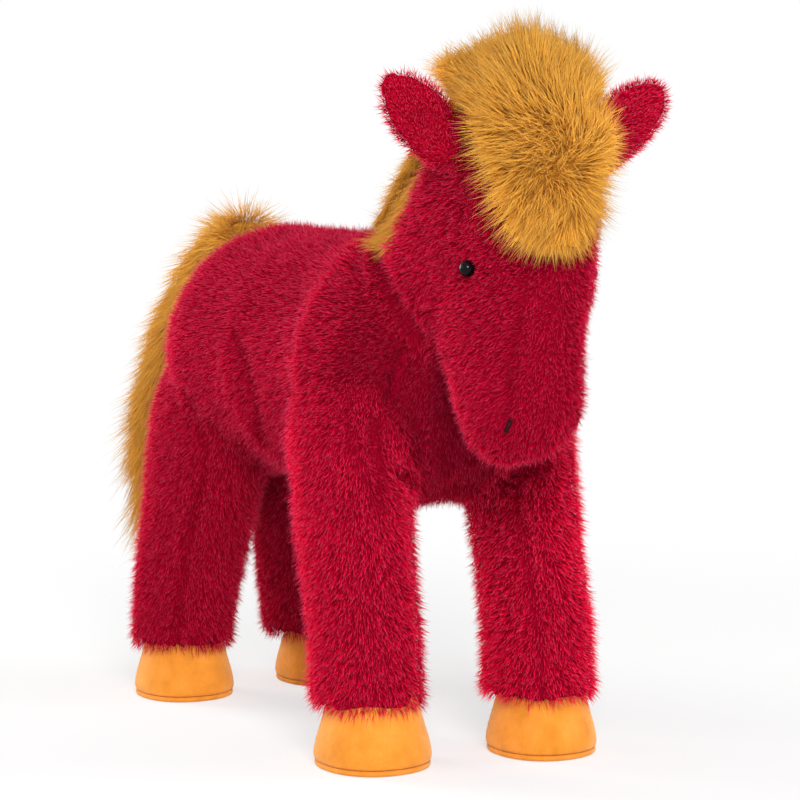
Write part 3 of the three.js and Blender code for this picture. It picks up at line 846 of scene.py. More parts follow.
def skinned(
    form: bmesh.types.BMesh, rings: Sequence[Sequence[bmesh.types.BMVert]]
) -> bpy.types.Mesh:
    """Joins rings of vertices to a closed mesh.

    Args:
        form: What the vertices belong to, which is freed.
        rings: The rings in order, each of equally many vertices, or of one at a pointed end.

    Returns:
        The mesh, facing outward.
    """
    segments = max(map(len, rings))
    for low, high in zip(rings, rings[1:]):
        for at in range(segments):
            after = (at + 1) % segments
            corners = [low[at % len(low)], low[after % len(low)]]
            corners += [high[after % len(high)], high[at % len(high)]]
            form.faces.new(list(dict.fromkeys(corners)))
    for end in (rings[0], rings[-1]):
        if len(end) > 1:
            form.faces.new(end)
    bmesh.ops.recalc_face_normals(form, faces=form.faces)
    made = bpy.data.meshes.new("skinned")
    form.to_mesh(made)
    form.free()
    made.shade_smooth()
    return made


def lathed(
    profile: Sequence[tuple[float, float]], segments: int, placement: Matrix
) -> bpy.types.Mesh:
    """Turns a profile about +Z and places it.

    Args:
        profile: Radius and height from one end of the axis to the other.
        segments: Steps round.
        placement: Where it goes.

    Returns:
        The closed mesh, facing outward.
    """
    turned = bmesh.new()
    rings = []
    for radius, height in profile:
        angles = [2 * math.pi * at / segments for at in range(1 if radius == 0 else segments)]
        spots = [(radius * math.cos(turn), radius * math.sin(turn), height) for turn in angles]
        rings.append([turned.verts.new(placement @ Vector(spot)) for spot in spots])
    return skinned(turned, rings)


class StrandShape(Enum):
    """The two kinds of strand: how high each is thickest, and the bends of its variants."""

    PILE = (0.5, ((1.5, 0.6), (3.0, -0.9), (5.0, 0.4)))
    HAIR = (0.45, ((8.0, 2.5), (13.0, -3.0), (18.0, 1.0)))

    def collection(self) -> bpy.types.Collection:
        """Makes a collection with one closed three-sided strand for each bend.

        A strand is one unit long and one unit thick at its thickest, and it starts a little below
        the surface. It bends towards +X by so many of its own widths at the tip.

        Returns:
            The collection, which isn't part of the scene.
        """
        height, bends = self.value
        along, across = (0.0, height, height, height, 1.0), (0.0, -1.0, 0.0, 1.0, 0.0)
        group = bpy.data.collections.new(f"{self.name.lower()}_strands")
        for number, (bend, sway) in enumerate(bends):
            lean, swing = bend * height**2, sway * math.sin(math.pi * height)
            points = [(0.0, 0.0, -0.06)]
            for angle in (2 * math.pi * at / 3 for at in range(3)):
                spot = (lean + 0.5 * math.cos(angle), swing + 0.5 * math.sin(angle), height)
                points.append(spot)
            points.append((bend, 0.0, 1.0))
            faces = [(0, 1 + (at + 1) % 3, 1 + at) for at in range(3)]
            faces += [(1 + at, 1 + (at + 1) % 3, 4) for at in range(3)]
            mesh = bpy.data.meshes.new(f"{self.name.lower()}_strand_{number}")
            mesh.from_pydata(points, [], faces)
            mesh.shade_smooth()
            for key, value in (("along", along), ("across", across)):
                mesh.attributes.new(key, "FLOAT", "POINT").data.foreach_set("value", value)
            group.objects.link(bpy.data.objects.new(mesh.name, mesh))
        return group


class PileTree(Graph):
    """The geometry node tree that plants strands on a surface.

    The surface carries `comb`, how far and where its pile leans, `pile`, its length, `cover`, the
    share of the full density, and `tone`, how pale the pile is, which carries painted light and
    shade.
    """

    SIZES = (
        "Density",
        "Width",
        "Shortest",
        "Longest",
        "Tuft Density",
        "Gather",
        "Waver",
        "Waver Scale",
        "Scatter",
    )

    def __init__(self) -> None:
        """Builds the tree with its named inputs."""
        super().__init__(bpy.data.node_groups.new("Pile", "GeometryNodeTree"))
        self.entry = self.tree.nodes.new("NodeGroupInput")
        self.names = self.interface(
            (
                ("Surface", "Geometry"),
                ("Strands", "Collection"),
                ("Finish", "Material"),
                *((name, "Float") for name in self.SIZES),
                ("Seed", "Int"),
            ),
            "Pile",
        )
        self.build()

    def given(self, name: str) -> bpy.types.NodeSocket:
        """Gives one of the tree's inputs."""
        return self.entry.outputs[name]

    def attribute(self, name: str, kind: str = "FLOAT") -> bpy.types.NodeSocket:
        """Gives a named attribute of the geometry at hand."""
        made = self.node("GeometryNodeInputNamedAttribute", {"Name": name}, data_type=kind)
        return enabled(made.outputs, "Attribute")

    def chance(self, low: object, high: object, seed: int, **ids: object) -> bpy.types.NodeSocket:
        """Gives a random number between two, or vector between two.

        Args:
            low: The least.
            high: The most.
            seed: What tells one draw from another.
            ids: ID, where points share one draw.

        Returns:
            The value socket.
        """
        kind = "FLOAT_VECTOR" if isinstance(low, tuple) else "FLOAT"
        seeded = self.math("ADD", self.given("Seed"), float(seed))
        made = self.node("FunctionNodeRandomValue", data_type=kind)
        for key, value in {"Min": low, "Max": high, "Seed": seeded, **ids}.items():
            self.feed(enabled(made.inputs, key), value)
        return enabled(made.outputs, "Value")

    def sown(self, surface: bpy.types.NodeSocket, density: bpy.types.NodeSocket) -> bpy.types.Node:
        """Strews points on a surface at a density."""
        return self.node(
            "GeometryNodeDistributePointsOnFaces",
            {"Mesh": surface, "Density": density, "Seed": self.given("Seed")},
            distribute_method="RANDOM",
        )

    def kept(
        self, geometry: bpy.types.NodeSocket, name: str, value: object, kind: str, domain: str
    ) -> bpy.types.NodeSocket:
        """Stores a value under a name and gives the geometry that carries it."""
        return self.node(
            "GeometryNodeStoreNamedAttribute",
            {"Geometry": geometry, "Name": name, "Value": value},
            data_type=kind,
            domain=domain,
        ).outputs[0]

    def build(self) -> None:
        """Adds every node."""
        surface = self.given("Surface")
        density = self.math("MULTIPLY", self.given("Density"), self.attribute("cover"))
        sown = self.sown(surface, density)
        tufts = self.sown(surface, self.given("Tuft Density")).outputs["Points"]
        here = self.node("GeometryNodeInputPosition").outputs[0]
        nearest = self.node("GeometryNodeSampleNearest", {"Geometry": tufts}).outputs[0]
        middle = self.node(
            "GeometryNodeSampleIndex",
            {"Geometry": tufts, "Value": here, "Index": nearest},
            data_type="FLOAT_VECTOR",
        )
        pile = self.attribute("pile")
        inward = self.vector("SUBTRACT", enabled(middle.outputs, "Value"), here)
        pull = self.math("DIVIDE", self.given("Gather"), pile)
        wave = self.node(
            "ShaderNodeTexNoise",
            {"Vector": here, "Scale": self.given("Waver Scale"), "Detail": 1.0},
        ).outputs[1]
        wave = self.vector("SUBTRACT", wave, (0.5, 0.5, 0.5))
        jitter = self.chance((-1.0, -1.0, -1.0), (1.0, 1.0, 1.0), 1)
        comb = self.attribute("comb", "FLOAT_VECTOR")
        way = sown.outputs["Normal"]
        for part in (
            comb,
            self.scaled(inward, pull),
            self.scaled(wave, self.given("Waver")),
            self.scaled(jitter, self.given("Scatter")),
        ):
            way = self.vector("ADD", way, part)
        lean = self.vector("ADD", comb, self.scaled(self.chance((-1.0,) * 3, (1.0,) * 3, 2), 0.45))
        turn = self.node(
            "FunctionNodeAxesToRotation",
            {"Primary Axis": way, "Secondary Axis": lean},
            primary_axis="Z",
            secondary_axis="X",
        ).outputs[0]
        draw = self.chance(0.0, 1.0, 3)
        spread = self.math("SUBTRACT", self.given("Longest"), self.given("Shortest"))
        squared = self.math("MULTIPLY", draw, draw)
        share = self.math("MULTIPLY_ADD", squared, spread, self.given("Shortest"))
        length = self.math("MULTIPLY", pile, share)
        width = self.math("MULTIPLY", self.given("Width"), self.chance(0.7, 1.2, 4))
        size = self.node("ShaderNodeCombineXYZ", {0: width, 1: width, 2: length}).outputs[0]
        strands = self.node(
            "GeometryNodeCollectionInfo",
            {"Collection": self.given("Strands"), "Separate Children": True},
        ).outputs[0]
        planted = self.node(
            "GeometryNodeInstanceOnPoints",
            {
                "Points": sown.outputs["Points"],
                "Instance": strands,
                "Pick Instance": True,
                "Rotation": turn,
                "Scale": size,
            },
        )
        patch = self.node(
            "ShaderNodeTexNoise", {"Vector": here, "Scale": 45.0, "Detail": 2.0}
        ).outputs[0]
        # The tint takes the tone with its painted light and shade, a random patch and random draws.
        tint = self.math("MULTIPLY_ADD", patch, 0.25, self.attribute("tone"))
        tint = self.math("ADD", tint, self.chance(0.0, 0.12, 5, ID=nearest))
        tint = self.math("ADD", tint, self.chance(0.0, 0.12, 6))
        kept = self.kept(planted.outputs[0], "tint", tint, "FLOAT", "INSTANCE")
        whole = self.node("GeometryNodeRealizeInstances", {"Geometry": kept}).outputs[0]
        across = self.math("MULTIPLY_ADD", self.attribute("across"), 0.012, self.attribute("tint"))
        across = self.math("MINIMUM", self.math("MAXIMUM", across, 0.01), 0.99)
        spot = self.node("ShaderNodeCombineXYZ", {0: across, 1: self.attribute("along")})
        mapped = self.kept(whole, STRAND_MAP, spot.outputs[0], "FLOAT2", "CORNER")
        self.dressed(mapped, self.given("Finish"))


@dataclass
class Pile:
    """One kind of pile: how thick it stands and how it falls, in metres and per square metre."""

    strands: bpy.types.Collection
    finish: bpy.types.Material
    slot: str
    density: float
    width: float
    shortest: float
    longest: float
    tuft_density: float
    gather: float
    waver: float
    waver_scale: float
    scatter: float

    def plant(
        self, tree: PileTree, surface: Surface, name: str, seed: int, body: str = "body"
    ) -> bpy.types.Object:
        """Plants this pile on a surface.

        Args:
            tree: The node tree that does it.
            surface: The surface, with comb, pile, cover and tone at each point.
            name: The piece's name.
            seed: The seed of its random draws.
            body: The body that it rides on.

        Returns:
            The piece.
        """
        values = {
            item.name.replace("_", " ").title(): getattr(self, item.name)
            for item in fields(self)
            if item.name != "slot"
        }
        values["Seed"] = seed
        inputs = {tree.names[key]: value for key, value in values.items()}
        made = grown(name, surface.mesh(name), tree.tree, inputs)
        for attribute in ("along", "across", "tint"):
            found = made.attributes.get(attribute)
            if found is not None:
                made.attributes.remove(found)
        return piece(name, made, self.finish, body)


class Workshop:
    """What every sub-assembly shares: finishes as materials, strands and the node tree."""

    def __init__(self) -> None:
        """Makes the shared materials, strands and tree."""
        finishes = Finishes()
        self.coat_knit = finishes.coat_knit.material()
        self.ear_knit = finishes.ear_knit.material()
        self.hair_knit = finishes.hair_knit.material()
        self.velour = finishes.velour.material()
        self.wadding = finishes.wadding.material()
        self.calico = finishes.calico.material()
        self.bead = finishes.bead.material()
        self.washer = finishes.washer.material()
        self.thread = finishes.thread.material()
        self.tree = PileTree()
        self.coat = Pile(
            strands=StrandShape.PILE.collection(),
            finish=finishes.coat.material(),
            slot="pile",
            density=0.92e6,
            width=0.00036,
            shortest=0.62,
            longest=1.3,
            tuft_density=0.12e6,
            gather=0.3,
            waver=0.9,
            waver_scale=80.0,
            scatter=0.45,
        )
        self.hair = Pile(
            strands=StrandShape.HAIR.collection(),
            finish=finishes.hair.material(),
            slot="gold_pile",
            density=1.1e6,
            width=0.00038,
            shortest=0.6,
            longest=1.2,
            tuft_density=0.07e6,
            gather=0.1,
            waver=1.9,
            waver_scale=34.0,
            scatter=0.46,
        )


def nearest_of(points: np.ndarray, marks: np.ndarray) -> tuple[np.ndarray, np.ndarray]:
    """Finds the nearest mark to each point.

    Args:
        points: Where to measure from.
        marks: Where to measure to.

    Returns:
        The distance to it and its number, one of each for each point.
    """
    tree = KDTree(len(marks))
    for number, mark in enumerate(marks):
        tree.insert(mark, number)
    tree.balance()
    found = [tree.find(point)[1:] for point in points]
    return np.array([item[1] for item in found]), np.array([item[0] for item in found])


def eased(values: np.ndarray, start: float, end: float) -> np.ndarray:
    """Rises smoothly from nothing at the start to one at the end."""
    share = np.clip((values - start) / (end - start), 0, 1)
    return share * share * (3 - 2 * share)


def tangential(vectors: np.ndarray, normals: np.ndarray) -> np.ndarray:
    """Takes out of each vector what points along its normal."""
    return vectors - normals * (vectors * normals).sum(1, keepdims=True)


def bump_of(distance: np.ndarray, radius: float) -> np.ndarray:
    """Gives one at distance zero, falling smoothly to nothing past the radius."""
    return np.exp(-((distance / radius) ** 2))


def node_axis(node: str) -> tuple[np.ndarray, np.ndarray]:
    """Gives a slim node's middle and its long axis."""
    points = numbers(cad_mesh(node).vertices, "co", 3)
    middle = (points.max(0) + points.min(0)) / 2
    return middle, np.linalg.svd(points - points.mean(0), full_matrices=False)[2][0]


@dataclass(frozen=True)
class Trim:
    """A side of one region that is stuffed slimmer, or fuller where a depth is below zero.

    The depth runs evenly from `low` to `high` between the two heights of the span, and fades in
    from the place along Y that `behind` gives.
    """

    region: Region
    way: tuple[float, float, float]
    low: float
    high: float
    span: tuple[float, float] = (0.0, 0.2)
    behind: float = -1.0


@dataclass(frozen=True)
class Crease:
    """A sewn fold on the right side, which the left side has too: a groove in the body, with
    painted shade darkening the pile along it.
    """

    strength: float
    path: tuple[tuple[float, float, float], ...]

    def spots(self, side: float) -> np.ndarray:
        """Gives close spots along the fold, mirrored where the side is -1."""
        path = np.array(self.path) * (side, 1, 1)
        shares = np.linspace(0, len(path) - 1, 24 * len(path))
        return np.stack([np.interp(shares, range(len(path)), path[:, at]) for at in range(3)], 1)


@dataclass
class Coat:
    """The stuffed body with its short pile: torso, neck, head and legs."""

    shop: Workshop
    voxel: float = 0.003
    rounds: int = 10
    stand: float = 0.0038
    wall: float = 0.0012
    stuffing: float = 0.0012
    torso_pile: float = 0.0078
    leg_pile: float = 0.0082
    head_pile: float = 0.0062
    plain_join: float = 0.2
    plain_seam: float = 0.45
    creases: tuple[Crease, ...] = (
        Crease(
            1.3,
            (
                (-0.0423, -0.1382, 0.2322),
                (-0.0462, -0.1347, 0.2084),
                (-0.0494, -0.1311, 0.1954),
                (-0.0573, -0.1281, 0.1816),
                (-0.0587, -0.1295, 0.1729),
                (-0.0585, -0.1306, 0.1550),
                (-0.0581, -0.1305, 0.1419),
            ),
        ),
        Crease(
            1.0,
            (
                (-0.0303, -0.0957, 0.2762),
                (-0.038, -0.1051, 0.2682),
                (-0.0421, -0.1116, 0.2614),
                (-0.0447, -0.1188, 0.2552),
                (-0.0448, -0.1248, 0.249),
                (-0.0436, -0.1307, 0.2423),
                (-0.0416, -0.1361, 0.2347),
                (-0.0374, -0.1401, 0.2254),
            ),
        ),
        Crease(
            1.2,
            (
                (-0.0447, -0.1295, 0.1572),
                (-0.0377, -0.1252, 0.1539),
                (-0.031, -0.1205, 0.15),
            ),
        ),
        Crease(
            0.6,
            (
                (-0.0712, -0.0014, 0.2254),
                (-0.0729, -0.0128, 0.2102),
                (-0.0708, -0.0169, 0.1936),
                (-0.0652, -0.0134, 0.1793),
                (-0.0535, 0.0012, 0.1638),
            ),
        ),
    )
    # Light and shade painted into the tone, by region: paler front legs, darker torso, hind legs,
    # neck and head.
    nap: dict[Region, float] = field(
        default_factory=lambda: {
            Region.TORSO: -0.11,
            Region.NECK: -0.04,
            Region.HEAD: -0.03,
            Region.LEG_FRONT_RIGHT: 0.13,
            Region.LEG_FRONT_LEFT: 0.28,
            Region.LEG_HIND_RIGHT: -0.08,
            Region.LEG_HIND_LEFT: -0.04,
        }
    )
    # Painted rim light on the flanks that face sideways and back; painted shade on top, on the
    # face's front and on the chest under the head.
    edge_nap: float = 0.14
    top_nap: float = 0.06
    front_nap: float = 0.1
    chest_nap: float = 0.45
    trim_fade: float = 0.03
    waist: float = 0.007
    waist_front: tuple[float, float] = (-0.084, -0.068)
    waist_back: tuple[float, float] = (-0.014, 0.008)
    waist_top: tuple[float, float] = (0.245, 0.275)
    washer_room: float = 0.001
    washer_rim: tuple[float, float] = (0.001, 0.008)
    mane_pile: float = 0.0135
    mane_span: tuple[float, float] = (0.27, 0.3)
    mane_start: tuple[float, float] = (-0.117, -0.128)
    mane_fade: tuple[float, float] = (0.006, 0.007)
    skirt: float = 0.0022
    groove: float = 0.0026
    groove_width: float = 0.005
    seam_gap: float = 0.0032
    seam_short: float = 0.42
    seam_thin: float = 0.2
    # Darkens the pile along seams and creases: dark joints at the seams, painted shade in the
    # creases.
    seam_deep: float = 0.34
    parting: float = 0.9
    lumps_per_metre: float = 22.0
    eye_clearing: float = 0.0075
    ear_mound: float = 0.008
    seam_turn: float = 32.0
    seam_top: float = 0.19
    seam_steps: int = 80
    face_steps: int = 50
    least_ring: int = 8
    cuff_height: float = 0.034
    cuff_width: float = 0.012
    trims: tuple[Trim, ...] = (
        Trim(Region.TORSO, UPWARD, 0.0026, 0.0026),
        Trim(Region.TORSO, DOWNWARD, 0.002, 0.002),
        Trim(Region.TORSO, VIEW_LEFT, 0.0055, 0.0055, behind=-0.01),
        Trim(Region.NECK, VIEW_LEFT, 0.006, 0.0105, (0.25, 0.28)),
        Trim(Region.HEAD, LEFTWARD, -0.0008, 0.004, (0.19, 0.222)),
        Trim(Region.HEAD, LEFTWARD, 0.0, -0.0036, (0.232, 0.25)),
        Trim(Region.HEAD, VIEW_LEFT, -0.0062, 0.0, (0.205, 0.255)),
        Trim(Region.HEAD, DOWNWARD, 0.0062, 0.0062),
        Trim(Region.LEG_FRONT_RIGHT, LEFTWARD, 0.004, 0.004),
        Trim(Region.LEG_FRONT_LEFT, RIGHTWARD, -0.0018, 0.0115),
        Trim(Region.LEG_FRONT_LEFT, LEFTWARD, 0.003, -0.0025),
        Trim(Region.LEG_HIND_RIGHT, RIGHTWARD, 0.0022, 0.005),
        Trim(Region.LEG_HIND_RIGHT, LEFTWARD, -0.0005, 0.0),
        Trim(Region.LEG_HIND_LEFT, (-0.7, 0.7, 0.0), 0.0, -0.012),
    )

    def build(self) -> None:
        """Builds the body's cloth and plants its pile."""
        body = self.wrapped()
        label = self.labels(body)
        self.dress(body, label)
        for number, region in enumerate(Region):
            cloth = body.part(label == number)
            stem = region.value.removesuffix("_skin")
            mesh = shelled(cloth, f"{stem}_cloth", self.wall)
            piece(
                f"{stem}_cloth", mesh, self.shop.coat_knit, nodes=[region.value]
            )
            if region in (Region.NECK, Region.HEAD):
                self.mane(cloth, stem)
                cloth.values["cover"] *= 1 - self.maned(cloth.points)
            for at, (suffix, share) in enumerate(self.panels(region, cloth)):
                seed = 100 * number + 10 * at
                self.shop.coat.plant(self.shop.tree, share, f"{stem}_pile{suffix}", seed)

    def wrapped(self) -> Surface:
        """Wraps the body's nodes in one even surface."""
        names = [region.value for region in Region]
        names += [name.replace("skin", "filling") for name in names]
        names += [f"hoof_{leg}_{part}" for leg in LEGS for part in ("upper", "pouch", "sole")]
        meshes = [cad_mesh(name) for name in names]
        for joint in frame["joints"]:
            if joint["name"].startswith("ear"):
                mound = bmesh.new()
                bmesh.ops.create_icosphere(mound, subdivisions=2, radius=self.ear_mound)
                bmesh.ops.translate(mound, verts=mound.verts, vec=Vector(joint["pos_m"]))
                meshes.append(bpy.data.meshes.new("mound"))
                mound.to_mesh(meshes[-1])
                mound.free()
        return Surface.voxelled(meshes, self.voxel).relax(self.rounds)

    def labels(self, body: Surface) -> np.ndarray:
        """Says which region each face belongs to: its number in Region, or more for a hoof."""
        middles = body.points[body.faces].mean(1)
        names = [region.value for region in Region] + [f"hoof_{leg}_upper" for leg in LEGS]
        names += [f"hoof_{leg}_sole" for leg in LEGS]
        rows = []
        for name in names:
            mesh = cad_mesh(name)
            points = [vertex.co for vertex in mesh.vertices]
            tree = BVHTree.FromPolygons(points, [tuple(p.vertices) for p in mesh.polygons])
            rows.append([tree.find_nearest(middle)[3] for middle in middles])
        return np.argmin(rows, axis=0)

    def dress(self, body: Surface, label: np.ndarray) -> None:
        """Fits the surface under the pile, sews its seams, combs its pile and paints light and
        shade into its tone.

        Args:
            body: The wrapped body, which is changed.
            label: The region of each face.
        """
        marks, strength = self.seams(body, label)
        close, which = nearest_of(body.points, marks)
        sewn = strength[which]
        parted = unit(body.points - marks[which])
        part = np.zeros(len(body.points), int)
        for number in range(len(Region)):
            part[np.unique(body.faces[label == number])] = number
        normal = self.fit(body, part, sewn, close)
        self.cloth = Surface(body.points, body.faces)
        gap = self.seam_gap * np.clip(sewn, 0.8, 1.6)
        pile = np.full(len(body.points), self.leg_pile)
        pile[part <= Region.NECK.number] = self.torso_pile
        pile[part == Region.HEAD.number] = self.head_pile
        pile *= 1 - np.clip(self.seam_short * sewn, 0, 0.8) * bump_of(close, gap)
        self.clear(body.points, pile)
        parting = parted * (self.parting * sewn * bump_of(close, 2.0 * self.seam_gap))[:, None]
        thinner = self.seam_thin * sewn * bump_of(close, 0.6 * self.seam_gap)
        tone = self.toned(body.points, normal, part)
        body.values["comb"] = tangential(self.combing(body, part) + parting, normal)
        body.values["pile"] = pile
        body.values["cover"] = 1 - thinner
        # The tone darkens along seams as dark joints and along creases as painted shade.
        body.values["tone"] = tone - self.seam_deep * sewn * bump_of(close, gap)

    def fit(
        self, body: Surface, part: np.ndarray, sewn: np.ndarray, close: np.ndarray
    ) -> np.ndarray:
        """Lets the surface in under the pile, draws in its seams and trims its sides.

        Args:
            body: The wrapped body, which is changed.
            part: The region of each point.
            sewn: How strongly the seam nearest to each point shows.
            close: How far away that seam is.

        Returns:
            The normal at each point before the trims, which the pile is combed over.
        """
        body.deflate(self.stand)
        normal = body.normals()
        lumps = [noise.noise(Vector(point * self.lumps_per_metre)) for point in body.points]
        body.points += normal * (self.stuffing * np.array(lumps))[:, None]
        body.points -= normal * (self.groove * sewn * bump_of(close, self.groove_width))[:, None]
        normal = body.normals()
        for trim in self.trims:
            facing = np.clip(normal @ np.array(trim.way), 0, 1)
            facing = facing * (part == trim.region.number)
            depth = np.interp(body.points[:, 2], trim.span, (trim.low, trim.high))
            depth *= eased(body.points[:, 1], trim.behind, trim.behind + self.trim_fade)
            body.points -= normal * (depth * facing)[:, None]
        waist = self.waisted(body.points) * np.abs(normal[:, 0])
        waist *= part == Region.TORSO.number
        body.points -= normal * (self.waist * waist)[:, None]
        for side in SIDES:
            self.cover_washer(body, side)
        cuff = bump_of(body.points[:, 2] - self.cuff_height, self.cuff_width)
        cuff = cuff * (part >= Region.LEG_FRONT_RIGHT.number)
        body.points += unit(normal * (1, 1, 0)) * (self.skirt * cuff)[:, None]
        body.relax(1)
        return normal

    def clear(self, points: np.ndarray, pile: np.ndarray) -> None:
        """Shortens the pile round the eyes and the nostrils.

        Args:
            points: The body's points.
            pile: The pile's length at each, which is changed.
        """
        for side in SIDES:
            eye, _ = node_axis(f"eye_{side}_bead")
            low, high = box_of(f"nostril_{side}_stitch")
            low, high = low - (0, 0, Face.stitch_drop), high - (0, 0, Face.stitch_drop)
            for middle, reach in ((eye, 1.0), ((low + high) / 2, 0.8)):
                away = np.linalg.norm(points - middle, axis=1)
                pile *= 1 - 0.6 * bump_of(away, reach * self.eye_clearing)

    def cover_washer(self, body: Surface, side: str) -> None:
        """Raises the cloth over an eye's washer wherever it lies too deep.

        Args:
            body: The wrapped body, which is changed.
            side: right or left.
        """
        disc = numbers(cad_mesh(f"eye_{side}_washer").vertices, "co", 3)
        middle = disc.mean(0)
        _, axis = node_axis(f"eye_{side}_bead")
        if axis[0] * middle[0] < 0:
            axis = -axis
        rise = (body.points - middle) @ axis
        spread = np.linalg.norm(body.points - middle - rise[:, None] * axis, axis=1)
        reach = np.linalg.norm(disc - middle, axis=1).max()
        lack = ((disc - middle) @ axis).max() + self.washer_room - rise
        share = 1 - eased(spread, reach + self.washer_rim[0], reach + self.washer_rim[1])
        share *= rise > -self.washer_room
        body.points += axis * (np.clip(lack, 0, None) * share)[:, None]

    def waisted(self, points: np.ndarray) -> np.ndarray:
        """Gives how far each point lies in the waist between shoulder and haunch."""
        behind = eased(points[:, 1], *self.waist_front)
        ahead = 1 - eased(points[:, 1], *self.waist_back)
        return behind * ahead * (1 - eased(points[:, 2], *self.waist_top))

    def maned(self, points: np.ndarray) -> np.ndarray:
        """Gives how far the mane takes the coat's place at the neck's back."""
        start = np.interp(points[:, 2], self.mane_span, self.mane_start)
        back, up = self.mane_fade
        foot = self.mane_span[0]
        return eased(points[:, 1] - start, 0.0, back) * eased(points[:, 2], foot, foot + up)

    def mane(self, neck: Surface, stem: str) -> None:
        """Lays the mane's backing on the neck or the head and plants its outer hair.

        Args:
            neck: The cloth below.
            stem: What the pieces' names start with.
        """
        band = self.maned(neck.points)
        normal = neck.normals()
        aside = np.sign(neck.points[:, :1]) * (0.7, 0.0, 0.0)
        values = {
            "comb": tangential(aside + np.array((0.0, 0.9, -0.8)), normal),
            "pile": np.full(len(neck.points), self.mane_pile),
            "cover": band,
            "tone": np.full(len(neck.points), PLAIN_TONE),
        }
        strip = neck.part((band[neck.faces] > 0.5).all(1))
        strip.points += strip.normals() * self.wall
        backing = shelled(strip, f"{stem}_mane_strip", 0.8 * self.wall)
        piece(f"{stem}_mane_strip", backing, self.shop.hair_knit)
        planted = Surface(neck.points, neck.faces, values)
        right = neck.points[neck.faces].mean(1)[:, 0] < 0
        within = (band[neck.faces] > 0).any(1)
        for at, (name, half) in enumerate(zip(SIDES, (right, ~right))):
            hair = planted.part(half & within)
            self.shop.hair.plant(self.shop.tree, hair, f"{stem}_mane_{name}", 760 + at)

    def toned(self, points: np.ndarray, normal: np.ndarray, part: np.ndarray) -> np.ndarray:
        """Gives the pile's tone with light and shade painted in: lighter and darker by region,
        paler down the front legs and on the flanks that face sideways and back, with painted shade
        on top, on the face's front and on the chest under the head.

        Args:
            points: The body's points.
            normal: The normal at each.
            part: The region of each.

        Returns:
            One tone for each point.
        """
        tone = np.full(len(points), PLAIN_TONE)
        above = 1 - eased(points[:, 2], 0.15, 0.215)
        behind = eased(points[:, 1], -0.09, -0.04)
        # Painted light and shade by region.
        for region, change in self.nap.items():
            fade = above if "leg_front" in region.value else 1.0
            fade = behind if region is Region.TORSO else fade
            tone += change * fade * (part == region.number)
        # Painted rim light on the flanks that face sideways and back, and painted shade on top, on
        # the face's front and on the chest under the head.
        sideways, backward = np.abs(normal[:, 0]), normal[:, 1]
        edge = np.clip(sideways * -VIEW_LEFT[0] + backward * VIEW_LEFT[1], 0, 1)
        tone += self.edge_nap * eased(edge, 0.76, 1.0)
        tone -= self.top_nap * np.clip(normal[:, 2], 0, 1)
        ahead = np.clip(-normal[:, 1], 0, 1)
        tone -= self.front_nap * ahead * (part == Region.HEAD.number)
        chest = 1 - eased(points[:, 1], -0.12, -0.06)
        return tone - self.chest_nap * chest * ahead * (part == Region.TORSO.number)

    def seams(self, body: Surface, label: np.ndarray) -> tuple[np.ndarray, np.ndarray]:
        """Finds every seam: where legs, neck and head join, down the legs and down the face.

        Args:
            body: The wrapped body.
            label: The region of each face.

        Returns:
            Points along the seams, and how strongly each shows.
        """
        marks = [self.joins(body, label)]
        points = body.points
        strength = [np.full(len(marks[0]), self.plain_join)]
        tree = BVHTree.FromPolygons(points.tolist(), body.faces.tolist())
        for number, region in enumerate(Region):
            if not region.value.startswith("leg"):
                continue
            leg = points[np.unique(body.faces[label == number])]
            turn = self.seam_turn * (1 if region.value.endswith("right_skin") else -1)
            turn *= 1 if "front" in region.value else -1
            for azimuth in (math.radians(turn), math.radians(180 - 0.5 * turn)):
                way = np.array((math.sin(azimuth), -math.cos(azimuth), 0.0))
                for height in np.linspace(leg[:, 2].min(), self.seam_top, self.seam_steps):
                    ring = leg[np.abs(leg[:, 2] - height) < 2 * self.voxel]
                    if len(ring) < self.least_ring:
                        continue
                    middle = (ring.max(0) + ring.min(0)) / 2
                    middle[2] = height
                    hit = tree.ray_cast(Vector(middle + 0.08 * way), Vector(-way))[0]
                    if hit is not None:
                        marks.append(np.array([hit]))
        eyes = {side: node_axis(f"eye_{side}_bead")[0] for side in SIDES}
        for side, other in zip(SIDES, reversed(SIDES)):
            low, high = box_of(f"nostril_{side}_stitch")
            nostril = (low + high) / 2
            inner = eyes[side] + 0.34 * (eyes[other] - eyes[side]) + np.array((0, -0.02, -0.004))
            for share in np.linspace(0, 0.95, self.face_steps):
                spot = inner + share * (nostril - inner)
                marks.append(np.array([tree.find_nearest(Vector(spot))[0]]))
        strength.append(np.full(sum(map(len, marks)) - len(strength[0]), self.plain_seam))
        for crease in self.creases:
            for side in (1.0, -1.0):
                spots = crease.spots(side)
                marks.append(np.array([tree.find_nearest(Vector(spot))[0] for spot in spots]))
                strength.append(np.full(len(spots), crease.strength))
        return np.concatenate(marks), np.concatenate(strength)

    def joins(self, body: Surface, label: np.ndarray) -> np.ndarray:
        """Gives the points where two regions meet, apart from the hooves."""
        least = np.full(len(body.points), 99)
        most = np.full(len(body.points), -1)
        for at in range(4):
            np.minimum.at(least, body.faces[:, at], label)
            np.maximum.at(most, body.faces[:, at], label)
        return body.points[(least != most) & (most < len(Region))]

